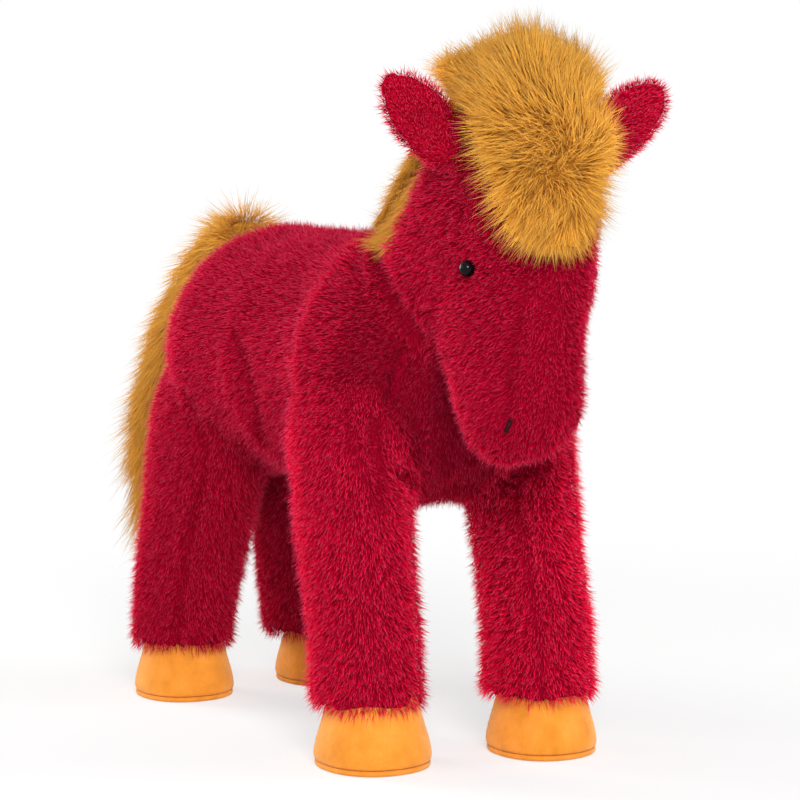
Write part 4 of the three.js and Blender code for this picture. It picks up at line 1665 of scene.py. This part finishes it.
    def combing(self, body: Surface, part: np.ndarray) -> np.ndarray:
        """Gives how far and where the pile leans at each point.

        Args:
            body: The body.
            part: The region of each point.

        Returns:
            One vector for each point.
        """
        comb = np.tile((0.0, 0.0, -0.6), (len(body.points), 1))
        comb[part == Region.TORSO.number] = (0.0, 0.45, -0.4)
        comb[part == Region.NECK.number] = (0.0, 0.25, -0.5)
        head = part == Region.HEAD.number
        low, high = box_of("head_skin")
        middle = (low + high) / 2
        aside = np.clip((body.points[head, 0] - middle[0]) / (high[0] - middle[0]), -1, 1)
        comb[head] = np.stack([0.6 * aside, np.full_like(aside, 0.1), -0.45 + 0 * aside], axis=1)
        return comb

    def panels(self, region: Region, cloth: Surface) -> list[tuple[str, Surface]]:
        """Splits a region into panels small enough for one piece each.

        Args:
            region: The region.
            cloth: Its surface.

        Returns:
            Each panel's name ending and surface.
        """
        middles = cloth.points[cloth.faces].mean(1)
        right = middles[:, 0] < np.median(middles[:, 0])
        if region is Region.TORSO:
            front, back = np.quantile(middles[:, 1], (1 / 3, 2 / 3))
            stretches = {
                "chest": middles[:, 1] < front,
                "barrel": (middles[:, 1] >= front) & (middles[:, 1] < back),
                "rump": middles[:, 1] >= back,
            }
            return [
                (f"_{name}_{side}", cloth.part(where & half))
                for name, where in stretches.items()
                for side, half in zip(SIDES, (right, ~right))
            ]
        if region in (Region.HEAD, Region.NECK):
            return [("_right", cloth.part(right)), ("_left", cloth.part(~right))]
        return [("", cloth)]


@dataclass
class Hair:
    """The forelock, the neck mane and the tail plume: long pile on narrow padded roots."""

    shop: Workshop
    voxel: float = 0.003
    forelock_depth: float = 0.0085
    forelock_length: float = 0.0245
    mane_depth: float = 0.009
    mane_length: float = 0.016
    tail_depth: float = 0.0095
    tail_length: float = 0.027
    crown_share: tuple[float, float, float] = (0.4, 0.05, 0.34)
    crown_radius: float = 0.05
    # Painted light: how much paler the hair is where its root faces down.
    underside: float = 0.6
    wander: float = 1.0
    slimmer: float = 0.48
    raised: float = 0.3
    tail_path: tuple[tuple[float, float], ...] = (
        (0.0946, 0.284),
        (0.1291, 0.277),
        (0.1682, 0.240),
        (0.2004, 0.187),
        (0.2234, 0.134),
        (0.2372, 0.072),
    )

    def build(self) -> None:
        """Builds the three."""
        self.tuft("forelock", self.forelock_depth, self.forelock_falls, 700)
        self.tuft("neck_mane", self.mane_depth, self.mane_falls, 720)
        self.tuft("tail_plume", self.tail_depth, self.tail_falls, 740, "tail")

    def tuft(
        self,
        node: str,
        depth: float,
        falls: Callable[[Surface], tuple[np.ndarray, np.ndarray, np.ndarray]],
        seed: int,
        body: str = "body",
    ) -> None:
        """Builds one tuft's root and plants its hair.

        Args:
            node: The node that it stands for.
            depth: How far the root lies below the outside.
            falls: Gives how the hair leans, its length and where its root is moved.
            seed: The seed of its random draws.
            body: The body that it rides on.
        """
        root = Surface.voxelled([cad_mesh(node)], self.voxel).relax(6).deflate(depth)
        comb, length, moved = falls(root)
        root.points += moved
        piece(
            f"{node}_root", root.mesh("root"), self.shop.hair_knit, body, [node]
        )
        root.values["comb"] = tangential(comb, root.normals())
        root.values["pile"] = length
        root.values["cover"] = np.ones(len(root.points))
        # Painted light makes the hair paler where the root faces down, against the shade beneath.
        below = np.clip(-root.normals()[:, 2], 0, 1)
        root.values["tone"] = PLAIN_TONE + self.underside * below
        middles = root.points[root.faces].mean(1)
        right = middles[:, 0] < np.median(middles[:, 0])
        for at, (half, keep) in enumerate(zip(SIDES, (right, ~right))):
            name = f"{node}_hair_{half}"
            self.shop.hair.plant(self.shop.tree, root.part(keep), name, seed + at, body)

    def forelock_falls(self, root: Surface) -> tuple[np.ndarray, np.ndarray, np.ndarray]:
        """Combs the forelock out from its crown, and slims its left side and its fringe."""
        low, high = box_of("forelock")
        crown = low + (high - low) * np.array(self.crown_share)
        away = root.points - crown
        reach = np.linalg.norm(away, axis=1, keepdims=True)
        fan = unit(away) * np.clip(reach / self.crown_radius, 0, 1)
        across = np.array(VIEW_RIGHT)
        aside, above = away @ across, away[:, 2]
        lower = eased(-above, -0.032, -0.006)
        cheek = eased(aside, 0.0, 0.026) * eased(-above, -0.045, -0.01)
        ear = eased(-aside, 0.018, 0.045) * eased(above, 0.01, 0.04)
        crest = eased(aside, 0.0, 0.022) * eased(above, 0.015, 0.045)
        fringe = eased(-above, 0.01, 0.035)
        down = np.array(DOWNWARD)
        comb = fan * 1.3 + 0.3 * down
        comb += cheek[:, None] * (0.5 * across + 1.3 * down - comb)
        comb += crest[:, None] * (np.array((-0.9, 0.3, 0.6)) - comb)
        turns = [noise.noise_vector(Vector(point * 45)) for point in root.points]
        comb += self.wander * np.array(turns)
        shorter = np.clip(0.42 * cheek + 0.4 * ear + 0.45 * crest + 0.5 * fringe, 0, 0.6)
        tuck = np.clip(0.003 * cheek + 0.009 * crest, 0, 0.01)
        moved = -root.normals() * tuck[:, None]
        moved -= across * (self.slimmer * np.clip(aside, 0, None) * lower)[:, None]
        moved -= down * (self.raised * np.clip(-above - 0.012, 0, None))[:, None]
        return comb, self.forelock_length * (1 - shorter), moved

    def mane_falls(self, root: Surface) -> tuple[np.ndarray, np.ndarray, np.ndarray]:
        """Combs the neck mane back and down."""
        aside = unit(root.points - root.points.mean(0)) * np.array((0.6, 0.0, 0.0))
        comb = aside + np.array((0.0, 0.9, -0.9))
        tuck = 0.0035 * (1 - eased(root.points[:, 2], 0.25, 0.3))
        length = np.full(len(root.points), self.mane_length)
        return comb, length, -root.normals() * tuck[:, None]

    def tail_falls(self, root: Surface) -> tuple[np.ndarray, np.ndarray, np.ndarray]:
        """Combs the tail along its own path, fuller at the root and longer low down."""
        path, points = np.array(self.tail_path), root.points
        shares = np.linspace(0, len(path) - 1, 60)
        dense = np.stack([np.interp(shares, range(len(path)), path[:, at]) for at in (0, 1)], 1)
        flow = unit(np.gradient(dense, axis=0))
        near = ((points[:, None, 1:] - dense[None]) ** 2).sum(2).argmin(1)
        comb = np.zeros_like(points)
        comb[:, 1:] = flow[near] * 1.3
        start = 1 - eased(points[:, 1], 0.1, 0.125)
        comb += start[:, None] * np.array((0.0, -2.4, 0.6))
        comb[:, 0] += start * 80.0 * (points[:, 0] - points[:, 0].mean())
        share = np.interp(points[:, 2], (0.08, 0.17, 0.21, 0.26), (1.4, 1.02, 0.95, 0.86))
        length = self.tail_length * (share - 0.1 * start)
        return comb, length, root.normals() * (0.006 * start)[:, None]


@dataclass
class Ears:
    """Two leaf-shaped ears, each a back and a cupped front sewn at the edge."""

    shop: Workshop
    voxel: float = 0.0018
    stand: float = 0.0018
    wall: float = 0.0009
    pile: float = 0.006
    front_pile: float = 0.0052
    cup: float = 0.0055
    fuller: float = 0.0012
    taller: float = 0.005
    slimmer: dict[str, float] = field(default_factory=lambda: {"right": 0.2, "left": 0.4})

    def build(self) -> None:
        """Builds both ears."""
        for number, side in enumerate(SIDES):
            joint = next(j for j in frame["joints"] if j["name"] == f"ear_{side}_fold")
            root, hinge = np.array(joint["pos_m"]), np.array(joint["axis"])
            names = [f"ear_{side}_back", f"ear_{side}_front"]
            ear = Surface.voxelled([cad_mesh(name) for name in names], self.voxel).relax(4)
            up = unit(ear.points.mean(0) - root)
            ahead = np.cross(hinge, up)
            ahead *= -np.sign(ahead[1])
            self.shape(ear, root, up, hinge, ahead)
            lower = np.array((0.51 if side == "left" else -0.51, -0.32, -0.8))
            past = np.clip((ear.points - root) @ lower, 0, None)
            ear.points -= lower * (self.slimmer[side] * past)[:, None]
            if side == "left":
                share = np.clip((ear.points - root) @ up, 0, None)
                ear.points += up * (self.taller * share / share.max())[:, None]
                ear.points += ear.normals() * self.fuller
            facing = (ear.points[ear.faces].mean(1) - root) @ ahead
            for at, (name, keep) in enumerate(zip(names, (facing < 0, facing >= 0))):
                panel = ear.part(keep)
                mesh = shelled(panel, f"{name}_cloth", self.wall)
                body = f"ear_{side}"
                knit = self.shop.ear_knit
                piece(f"{name}_cloth", mesh, knit, body, [name])
                seed = 800 + 20 * number + 10 * at
                self.shop.coat.plant(self.shop.tree, panel, f"{name}_pile", seed, body)

    def shape(
        self, ear: Surface, root: np.ndarray, up: np.ndarray, hinge: np.ndarray, ahead: np.ndarray
    ) -> None:
        """Lets an ear in under its pile, cups its front, paints shade into the cup and combs it
        towards the tip.

        Args:
            ear: The ear's surface, which is changed.
            root: A point on the hinge.
            up: The way to the tip.
            hinge: The hinge's axis, across the ear.
            ahead: The way that the front faces.
        """
        ear.deflate(self.stand, 0.001)
        offset = ear.points - root
        across, above, out = offset @ hinge, offset @ up, offset @ ahead
        half = np.abs(across).max()
        height = np.clip(above / above.max(), 0, 1)
        hollow = (1 - (across / half) ** 2).clip(0) * np.sin(math.pi * height**0.8)
        front = np.clip(out / out.max(), 0, 1)
        ear.points -= ahead * (self.cup * hollow * front)[:, None]
        normal = ear.normals()
        comb = up * 0.55 + hinge * (0.35 * across / half)[:, None]
        ear.values["comb"] = tangential(comb, normal)
        ear.values["pile"] = np.where(front > 0, self.front_pile, self.pile)
        ear.values["cover"] = 1.3 + 0.9 * np.clip(np.abs(across / half), 0, 1) ** 3
        # Painted shade darkens the pile inside the cup.
        ear.values["tone"] = PLAIN_TONE - 0.12 * hollow * front


@dataclass
class Face:
    """The eyes with their washers, and the embroidered nostrils."""

    shop: Workshop
    cloth: Surface
    eye_stand: dict[str, float] = field(default_factory=lambda: {"right": 0.0032, "left": 0.0018})
    stitch_stand: float = 0.002
    eye_radius: float = 0.0042
    eye_sunk: float = 0.0014
    shank_radius: float = 0.0016
    shank_length: float = 0.013
    segments: int = 40
    stitches: int = 12
    stitch_share: float = 0.85
    stitch_drop: float = 0.003
    stitch_aside: float = 0.0012
    thread_radius: float = 0.0004

    def seat(self, spot: np.ndarray, way: np.ndarray, height: float) -> np.ndarray:
        """Finds the place at a height over the cloth, straight out or in from a spot.

        Args:
            spot: Near the cloth.
            way: The way out.
            height: How far over the cloth.

        Returns:
            The place.
        """
        tree = BVHTree.FromPolygons(self.cloth.points.tolist(), self.cloth.faces.tolist())
        hit = tree.ray_cast(Vector(spot + 0.03 * way), Vector(-way))[0]
        return np.array(hit) + height * way

    def build(self) -> None:
        """Builds both sides of the face."""
        for side in SIDES:
            self.eye(side)
            self.nostril(side)
            washer = frame["nodes"][f"eye_{side}_washer"]
            for slot in washer.material_slots:
                slot.material = self.shop.washer

    def eye(self, side: str) -> None:
        """Turns one smooth bead on its shank.

        Args:
            side: right or left.
        """
        node = f"eye_{side}_bead"
        points = numbers(cad_mesh(node).vertices, "co", 3)
        middle, axis = node_axis(node)
        reach = (points - middle) @ axis
        spread = np.linalg.norm(points - middle - reach[:, None] * axis, axis=1)
        if reach[spread.argmax()] < 0:
            axis = -axis
        centre = self.seat(middle, axis, self.eye_stand[side])
        placement = Vector(axis).to_track_quat("Z", "Y").to_matrix().to_4x4()
        placement.translation = Vector(centre)
        start = math.asin(-self.eye_sunk / self.eye_radius)
        dome = [
            (self.eye_radius * math.cos(angle), self.eye_radius * math.sin(angle))
            for angle in np.linspace(start, math.pi / 2, 16)[:-1]
        ]
        profile = [(0.0, -self.shank_length), (self.shank_radius, -self.shank_length)]
        profile += [(self.shank_radius, -self.eye_sunk - 0.0002)]
        profile += [(0.9 * self.eye_radius, -self.eye_sunk - 0.0002), *dome]
        profile.append((0.0, self.eye_radius))
        mesh = lathed(profile, self.segments, placement)
        piece(f"eye_{side}_ball", mesh, self.shop.bead, nodes=[node])

    def nostril(self, side: str) -> None:
        """Embroiders one nostril: threads side by side across a short slanted line.

        Args:
            side: right or left.
        """
        node = f"nostril_{side}_stitch"
        points = numbers(cad_mesh(node).vertices, "co", 3)
        middle, axis = node_axis(node)
        low, high = box_of("head_skin")
        out = tangential(np.array([middle - (low + high) / 2]) * (1, 1, 0.2), np.array([axis]))[0]
        out = unit(out)
        wide = np.cross(axis, out)
        reach = np.abs((points - middle) @ axis).max() - self.thread_radius
        half = self.stitch_share * np.abs((points - middle) @ wide).max()
        shape = bmesh.new()
        rings = []
        for angle in np.linspace(-0.15, math.pi + 0.15, 9):
            centre = Vector((half * 1.1 * math.cos(angle), 0, half * 1.2 * math.sin(angle)))
            way = Vector((math.cos(angle), 0, math.sin(angle)))
            turns = np.linspace(0, 2 * math.pi, 6, endpoint=False)
            spokes = [math.cos(turn) * way + math.sin(turn) * Vector((0, 1, 0)) for turn in turns]
            rings.append([shape.verts.new(centre + self.thread_radius * way) for way in spokes])
        bow = skinned(shape, rings)
        mesh = self.satin(bow, 2 * reach)
        turn = Matrix((wide, axis, out)).transposed().to_4x4()
        aside = self.stitch_aside * (-1 if side == "right" else 1)
        spot = middle + (aside, 0.0, -self.stitch_drop)
        turn.translation = Vector(self.seat(spot, out, self.stitch_stand))
        mesh.transform(turn)
        if turn.determinant() < 0:
            mesh.flip_normals()
        piece(f"nostril_{side}_satin", mesh, self.shop.thread, nodes=[node])

    def satin(self, bow: bpy.types.Mesh, length: float) -> bpy.types.Mesh:
        """Repeats one thread along a line with geometry nodes.

        Args:
            bow: One thread, bowed across the line.
            length: The line's length.

        Returns:
            All the threads.
        """
        tree = bpy.data.node_groups.new("Satin", "GeometryNodeTree")
        graph = Graph(tree)
        inputs = (("Thread", "Geometry"), ("Count", "Int"), ("Pitch", "Float"))
        names = graph.interface(inputs, "Satin")
        entry = tree.nodes.new("NodeGroupInput")
        step = graph.node("ShaderNodeCombineXYZ", {1: entry.outputs["Pitch"]}).outputs[0]
        less = graph.math("SUBTRACT", entry.outputs["Count"], 1.0)
        start = graph.scaled(graph.scaled(step, less), -0.5)
        line = graph.node(
            "GeometryNodeMeshLine",
            {"Count": entry.outputs["Count"], "Start Location": start, "Offset": step},
        ).outputs[0]
        rows = graph.node(
            "GeometryNodeInstanceOnPoints", {"Points": line, "Instance": entry.outputs["Thread"]}
        ).outputs[0]
        whole = graph.node("GeometryNodeRealizeInstances", {0: rows}).outputs[0]
        graph.dressed(whole, self.shop.thread)
        values = {names["Count"]: self.stitches, names["Pitch"]: length / self.stitches}
        return grown("satin", bow, tree, values)


@dataclass
class Hooves:
    """Four velour hooves: a crowned upper over a pouch, closed by a sole."""

    shop: Workshop
    segments: int = 56
    squareness: float = 2.15
    sole: float = 0.003
    seam: float = 0.0004
    top: float = 0.040
    pouch_voxel: float = 0.003
    pouch_slack: float = 0.0026
    nudges: tuple[tuple[float, float, float], ...] = (
        (-0.0012, -0.0034, 0.985),
        (0.0004, -0.0006, 0.945),
        (0.002, -0.0012, 0.985),
        (0.004, -0.0012, 0.96),
    )
    profile: tuple[tuple[float, float], ...] = (
        (0.0, 1.01),
        (0.03, 1.03),
        (0.08, 1.04),
        (0.16, 1.03),
        (0.28, 1.0),
        (0.42, 0.95),
        (0.56, 0.9),
        (0.7, 0.85),
        (0.85, 0.8),
        (1.0, 0.76),
    )
    pad: tuple[tuple[float, float], ...] = (
        (0.0, 0.0),
        (0.0, 0.97),
        (0.0003, 1.0),
        (0.0012, 1.02),
        (0.0022, 1.02),
    )

    def build(self) -> None:
        """Builds all four."""
        for leg, (right, back, size) in zip(LEGS, self.nudges):
            low, high = box_of(f"hoof_{leg}_sole")
            above, upper = box_of(f"hoof_{leg}_upper")
            middle, half = (low + high) / 2, size * (high - low) / 2
            lean = ((above + upper) / 2 - middle) * (1, 1, 0)
            middle += (right, back, 0.0)
            base = self.sole + self.seam
            none = 0 * lean
            rings = [(base, 0.0, none)]
            for share, factor in self.profile:
                rings.append((base + share * (self.top - base), factor, lean * share))
            rings.append((rings[-1][0], 0.0, lean))
            pad = [(height, factor, none) for height, factor in self.pad]
            pad += [(self.sole, factor, none) for factor in (1.0, 0.0)]
            for name, node, rows, fill in (
                ("velour", "upper", rings, 0.8),
                ("base", "sole", pad, 0.3),
            ):
                mesh = self.loft(middle, half, rows)
                made, nodes = f"hoof_{leg}_{name}", [f"hoof_{leg}_{node}"]
                piece(made, mesh, self.shop.velour, nodes=nodes)
            node = f"hoof_{leg}_pouch"
            pouch = Surface.voxelled([cad_mesh(node)], self.pouch_voxel).relax(4)
            pouch.deflate(self.pouch_slack)
            pouch.points += (size - 1) * (pouch.points - middle) * (1, 1, 0)
            pouch.points += (right, back, 0.0)
            calico = self.shop.calico
            piece(f"{node}_bag", pouch.mesh("pouch"), calico, nodes=[node])

    def loft(
        self,
        middle: np.ndarray,
        half: np.ndarray,
        rings: Sequence[tuple[float, float, np.ndarray]],
    ) -> bpy.types.Mesh:
        """Lofts a closed form of rounded outlines.

        Args:
            middle: The middle of the foot.
            half: Half of the full width and depth.
            rings: Heights, shares of the full outline, and shifts, with shares of zero at the ends.

        Returns:
            The closed mesh, facing outward.
        """
        form = bmesh.new()
        rows = []
        power = 2 / self.squareness
        for height, factor, shift in rings:
            centre = np.array((middle[0], middle[1], height)) + shift * (1, 1, 0)
            if factor == 0:
                rows.append([form.verts.new(centre)])
                continue
            row = []
            for at in range(self.segments):
                turn = 2 * math.pi * at / self.segments
                x = math.copysign(abs(math.cos(turn)) ** power, math.cos(turn))
                y = math.copysign(abs(math.sin(turn)) ** power, math.sin(turn))
                row.append(form.verts.new(centre + factor * half * (x, y, 0)))
            rows.append(row)
        return skinned(form, rows)


@dataclass
class Fillings:
    """What is inside: wadding, and the strip in the tail."""

    shop: Workshop
    voxel: float = 0.005
    fine_voxel: float = 0.0018
    lump: float = 0.0007
    slack: float = 0.0012

    def build(self, cloth: Surface, wall: float) -> None:
        """Builds all of them from the spaces that hold them.

        Args:
            cloth: The outer side of the body's cloth, which presses the wadding in.
            wall: The cloth's thickness.
        """
        stems = ["torso", "neck", "head", *(f"leg_{leg}" for leg in LEGS)]
        for number, stem in enumerate(stems):
            form = Surface.voxelled([cad_mesh(f"{stem}_filling")], self.voxel).relax(5)
            form.deflate(self.slack)
            rng = np.random.default_rng(900 + number)
            form.points += form.normals() * rng.normal(0, self.lump, (len(form.points), 1))
            form.relax(1)
            form.press(cloth, wall + self.slack)
            mesh = form.mesh("wadding")
            wadding = self.shop.wadding
            piece(f"{stem}_wadding", mesh, wadding, nodes=[f"{stem}_filling"])
        strip = Surface.voxelled([cad_mesh("tail_core")], self.fine_voxel).relax(3)
        mesh = strip.mesh("strip")
        piece("tail_strip", mesh, self.shop.calico, "tail", ["tail_core"])


@dataclass
class Studio:
    """The plain pale stage: floor, world, lamps and camera."""

    eye: tuple[float, float, float] = (-0.65205, -1.09212, 0.264)
    heading: tuple[float, float] = (0.5344, 0.8453)
    pitch: float = 137 / 2200
    lens: float = 99.0
    floor_size: float = 8.0
    middle: tuple[float, float, float] = (0.0, -0.02, 0.19)

    def build(self) -> None:
        """Builds the stage."""
        self.floor()
        self.world()
        self.lamp("key", (-0.8, -1.7, 1.0), 0.8, 37.0)
        self.lamp("side", (-1.9, 0.2, 0.8), 1.0, 3.0)
        self.lamp("fill", (1.4, -0.9, 0.8), 1.1, 12.0)
        self.lamp("back", (-1.0, 1.6, 0.75), 1.2, 30.0)
        self.camera()

    def floor(self) -> None:
        """Lays a white floor that keeps the object's shadow."""
        mesh = bpy.data.meshes.new("floor")
        half = self.floor_size / 2
        corners = [(-half, -half, 0), (half, -half, 0), (half, half, 0), (-half, half, 0)]
        mesh.from_pydata([(x, y, -0.0002) for x, y, _ in corners], [], [(0, 1, 2, 3)])
        made = Shader("paper_floor", Roughness=0.9, Specular_IOR_Level=0.1)
        made.surface.inputs["Base Color"].default_value = (0.9, 0.9, 0.9, 1)
        reach = made.node("ShaderNodeVectorMath", {0: made.place()}, operation="LENGTH")
        spread = {"Value": enabled(reach.outputs, "Value"), 1: 0.25, 2: 0.9, 3: 0.55, 4: 1.0}
        plain = made.node("ShaderNodeMapRange", spread, interpolation_type="SMOOTHSTEP").outputs[0]
        glow = made.node("ShaderNodeEmission", {"Color": (1, 1, 1, 1), "Strength": 1.0})
        share = made.math("MULTIPLY", made.seen(), plain)
        mix = made.node("ShaderNodeMixShader", {0: share})
        made.tree.links.new(made.surface.outputs[0], mix.inputs[1])
        made.tree.links.new(glow.outputs[0], mix.inputs[2])
        made.tree.links.new(mix.outputs[0], made.tree.nodes["Material Output"].inputs[0])
        mesh.materials.append(made.material)
        linked("floor", mesh)

    def world(self) -> None:
        """Makes a white background that lights the object plainly."""
        world = bpy.data.worlds.new("studio")
        bpy.context.scene.world = world
        world.use_nodes = True
        graph = Graph(world.node_tree)
        back = world.node_tree.nodes["Background"]
        spread = {"Value": graph.seen(), 3: 0.4, 4: 1.0}
        strength = graph.node("ShaderNodeMapRange", spread).outputs[0]
        back.inputs["Color"].default_value = (1, 1, 1, 1)
        world.node_tree.links.new(strength, back.inputs["Strength"])

    def lamp(self, name: str, place: Sequence[float], size: float, power: float) -> None:
        """Hangs one soft lamp that faces the object.

        Args:
            name: The lamp's name.
            place: Where it hangs.
            size: Its width.
            power: Its power in watts.
        """
        light = bpy.data.lights.new(name, "AREA")
        light.shape = "DISK"
        light.size = size
        light.energy = power
        self.aim(linked(name, light), place, Vector(self.middle) - Vector(place))

    def camera(self) -> None:
        """Sets the camera at the photograph's angle."""
        data = bpy.data.cameras.new("camera")
        data.lens = self.lens
        data.sensor_width = 36.0
        data.clip_start = 0.01
        made = linked("camera", data)
        self.aim(made, self.eye, Vector((*self.heading, -self.pitch)).normalized())
        bpy.context.scene.camera = made

    def aim(self, made: bpy.types.Object, place: Sequence[float], way: Vector) -> None:
        """Puts a lamp or the camera in its place.

        Args:
            made: The lamp or the camera.
            place: Where it goes.
            way: Which way it faces.
        """
        turn = way.to_track_quat("-Z", "Y").to_matrix().to_4x4()
        made.matrix_world = Matrix.Translation(place) @ turn


def corners(box: tuple) -> list[list[float]]:
    """Gives a box's two corners as plain lists."""
    return [[float(value) for value in corner] for corner in box]


def main() -> None:
    logging.basicConfig(level=logging.INFO, format="%(name)s: %(message)s")
    bpy.context.scene.view_settings.view_transform = "Standard"
    noise.seed_set(NOISE_SEED)
    shop = Workshop()
    Studio().build()
    coat = Coat(shop)
    coat.build()
    Hair(shop).build()
    Ears(shop).build()
    Face(shop, coat.cloth).build()
    Hooves(shop).build()
    Fillings(shop).build(coat.cloth, coat.wall)


if __name__ == "__main__":
    main()
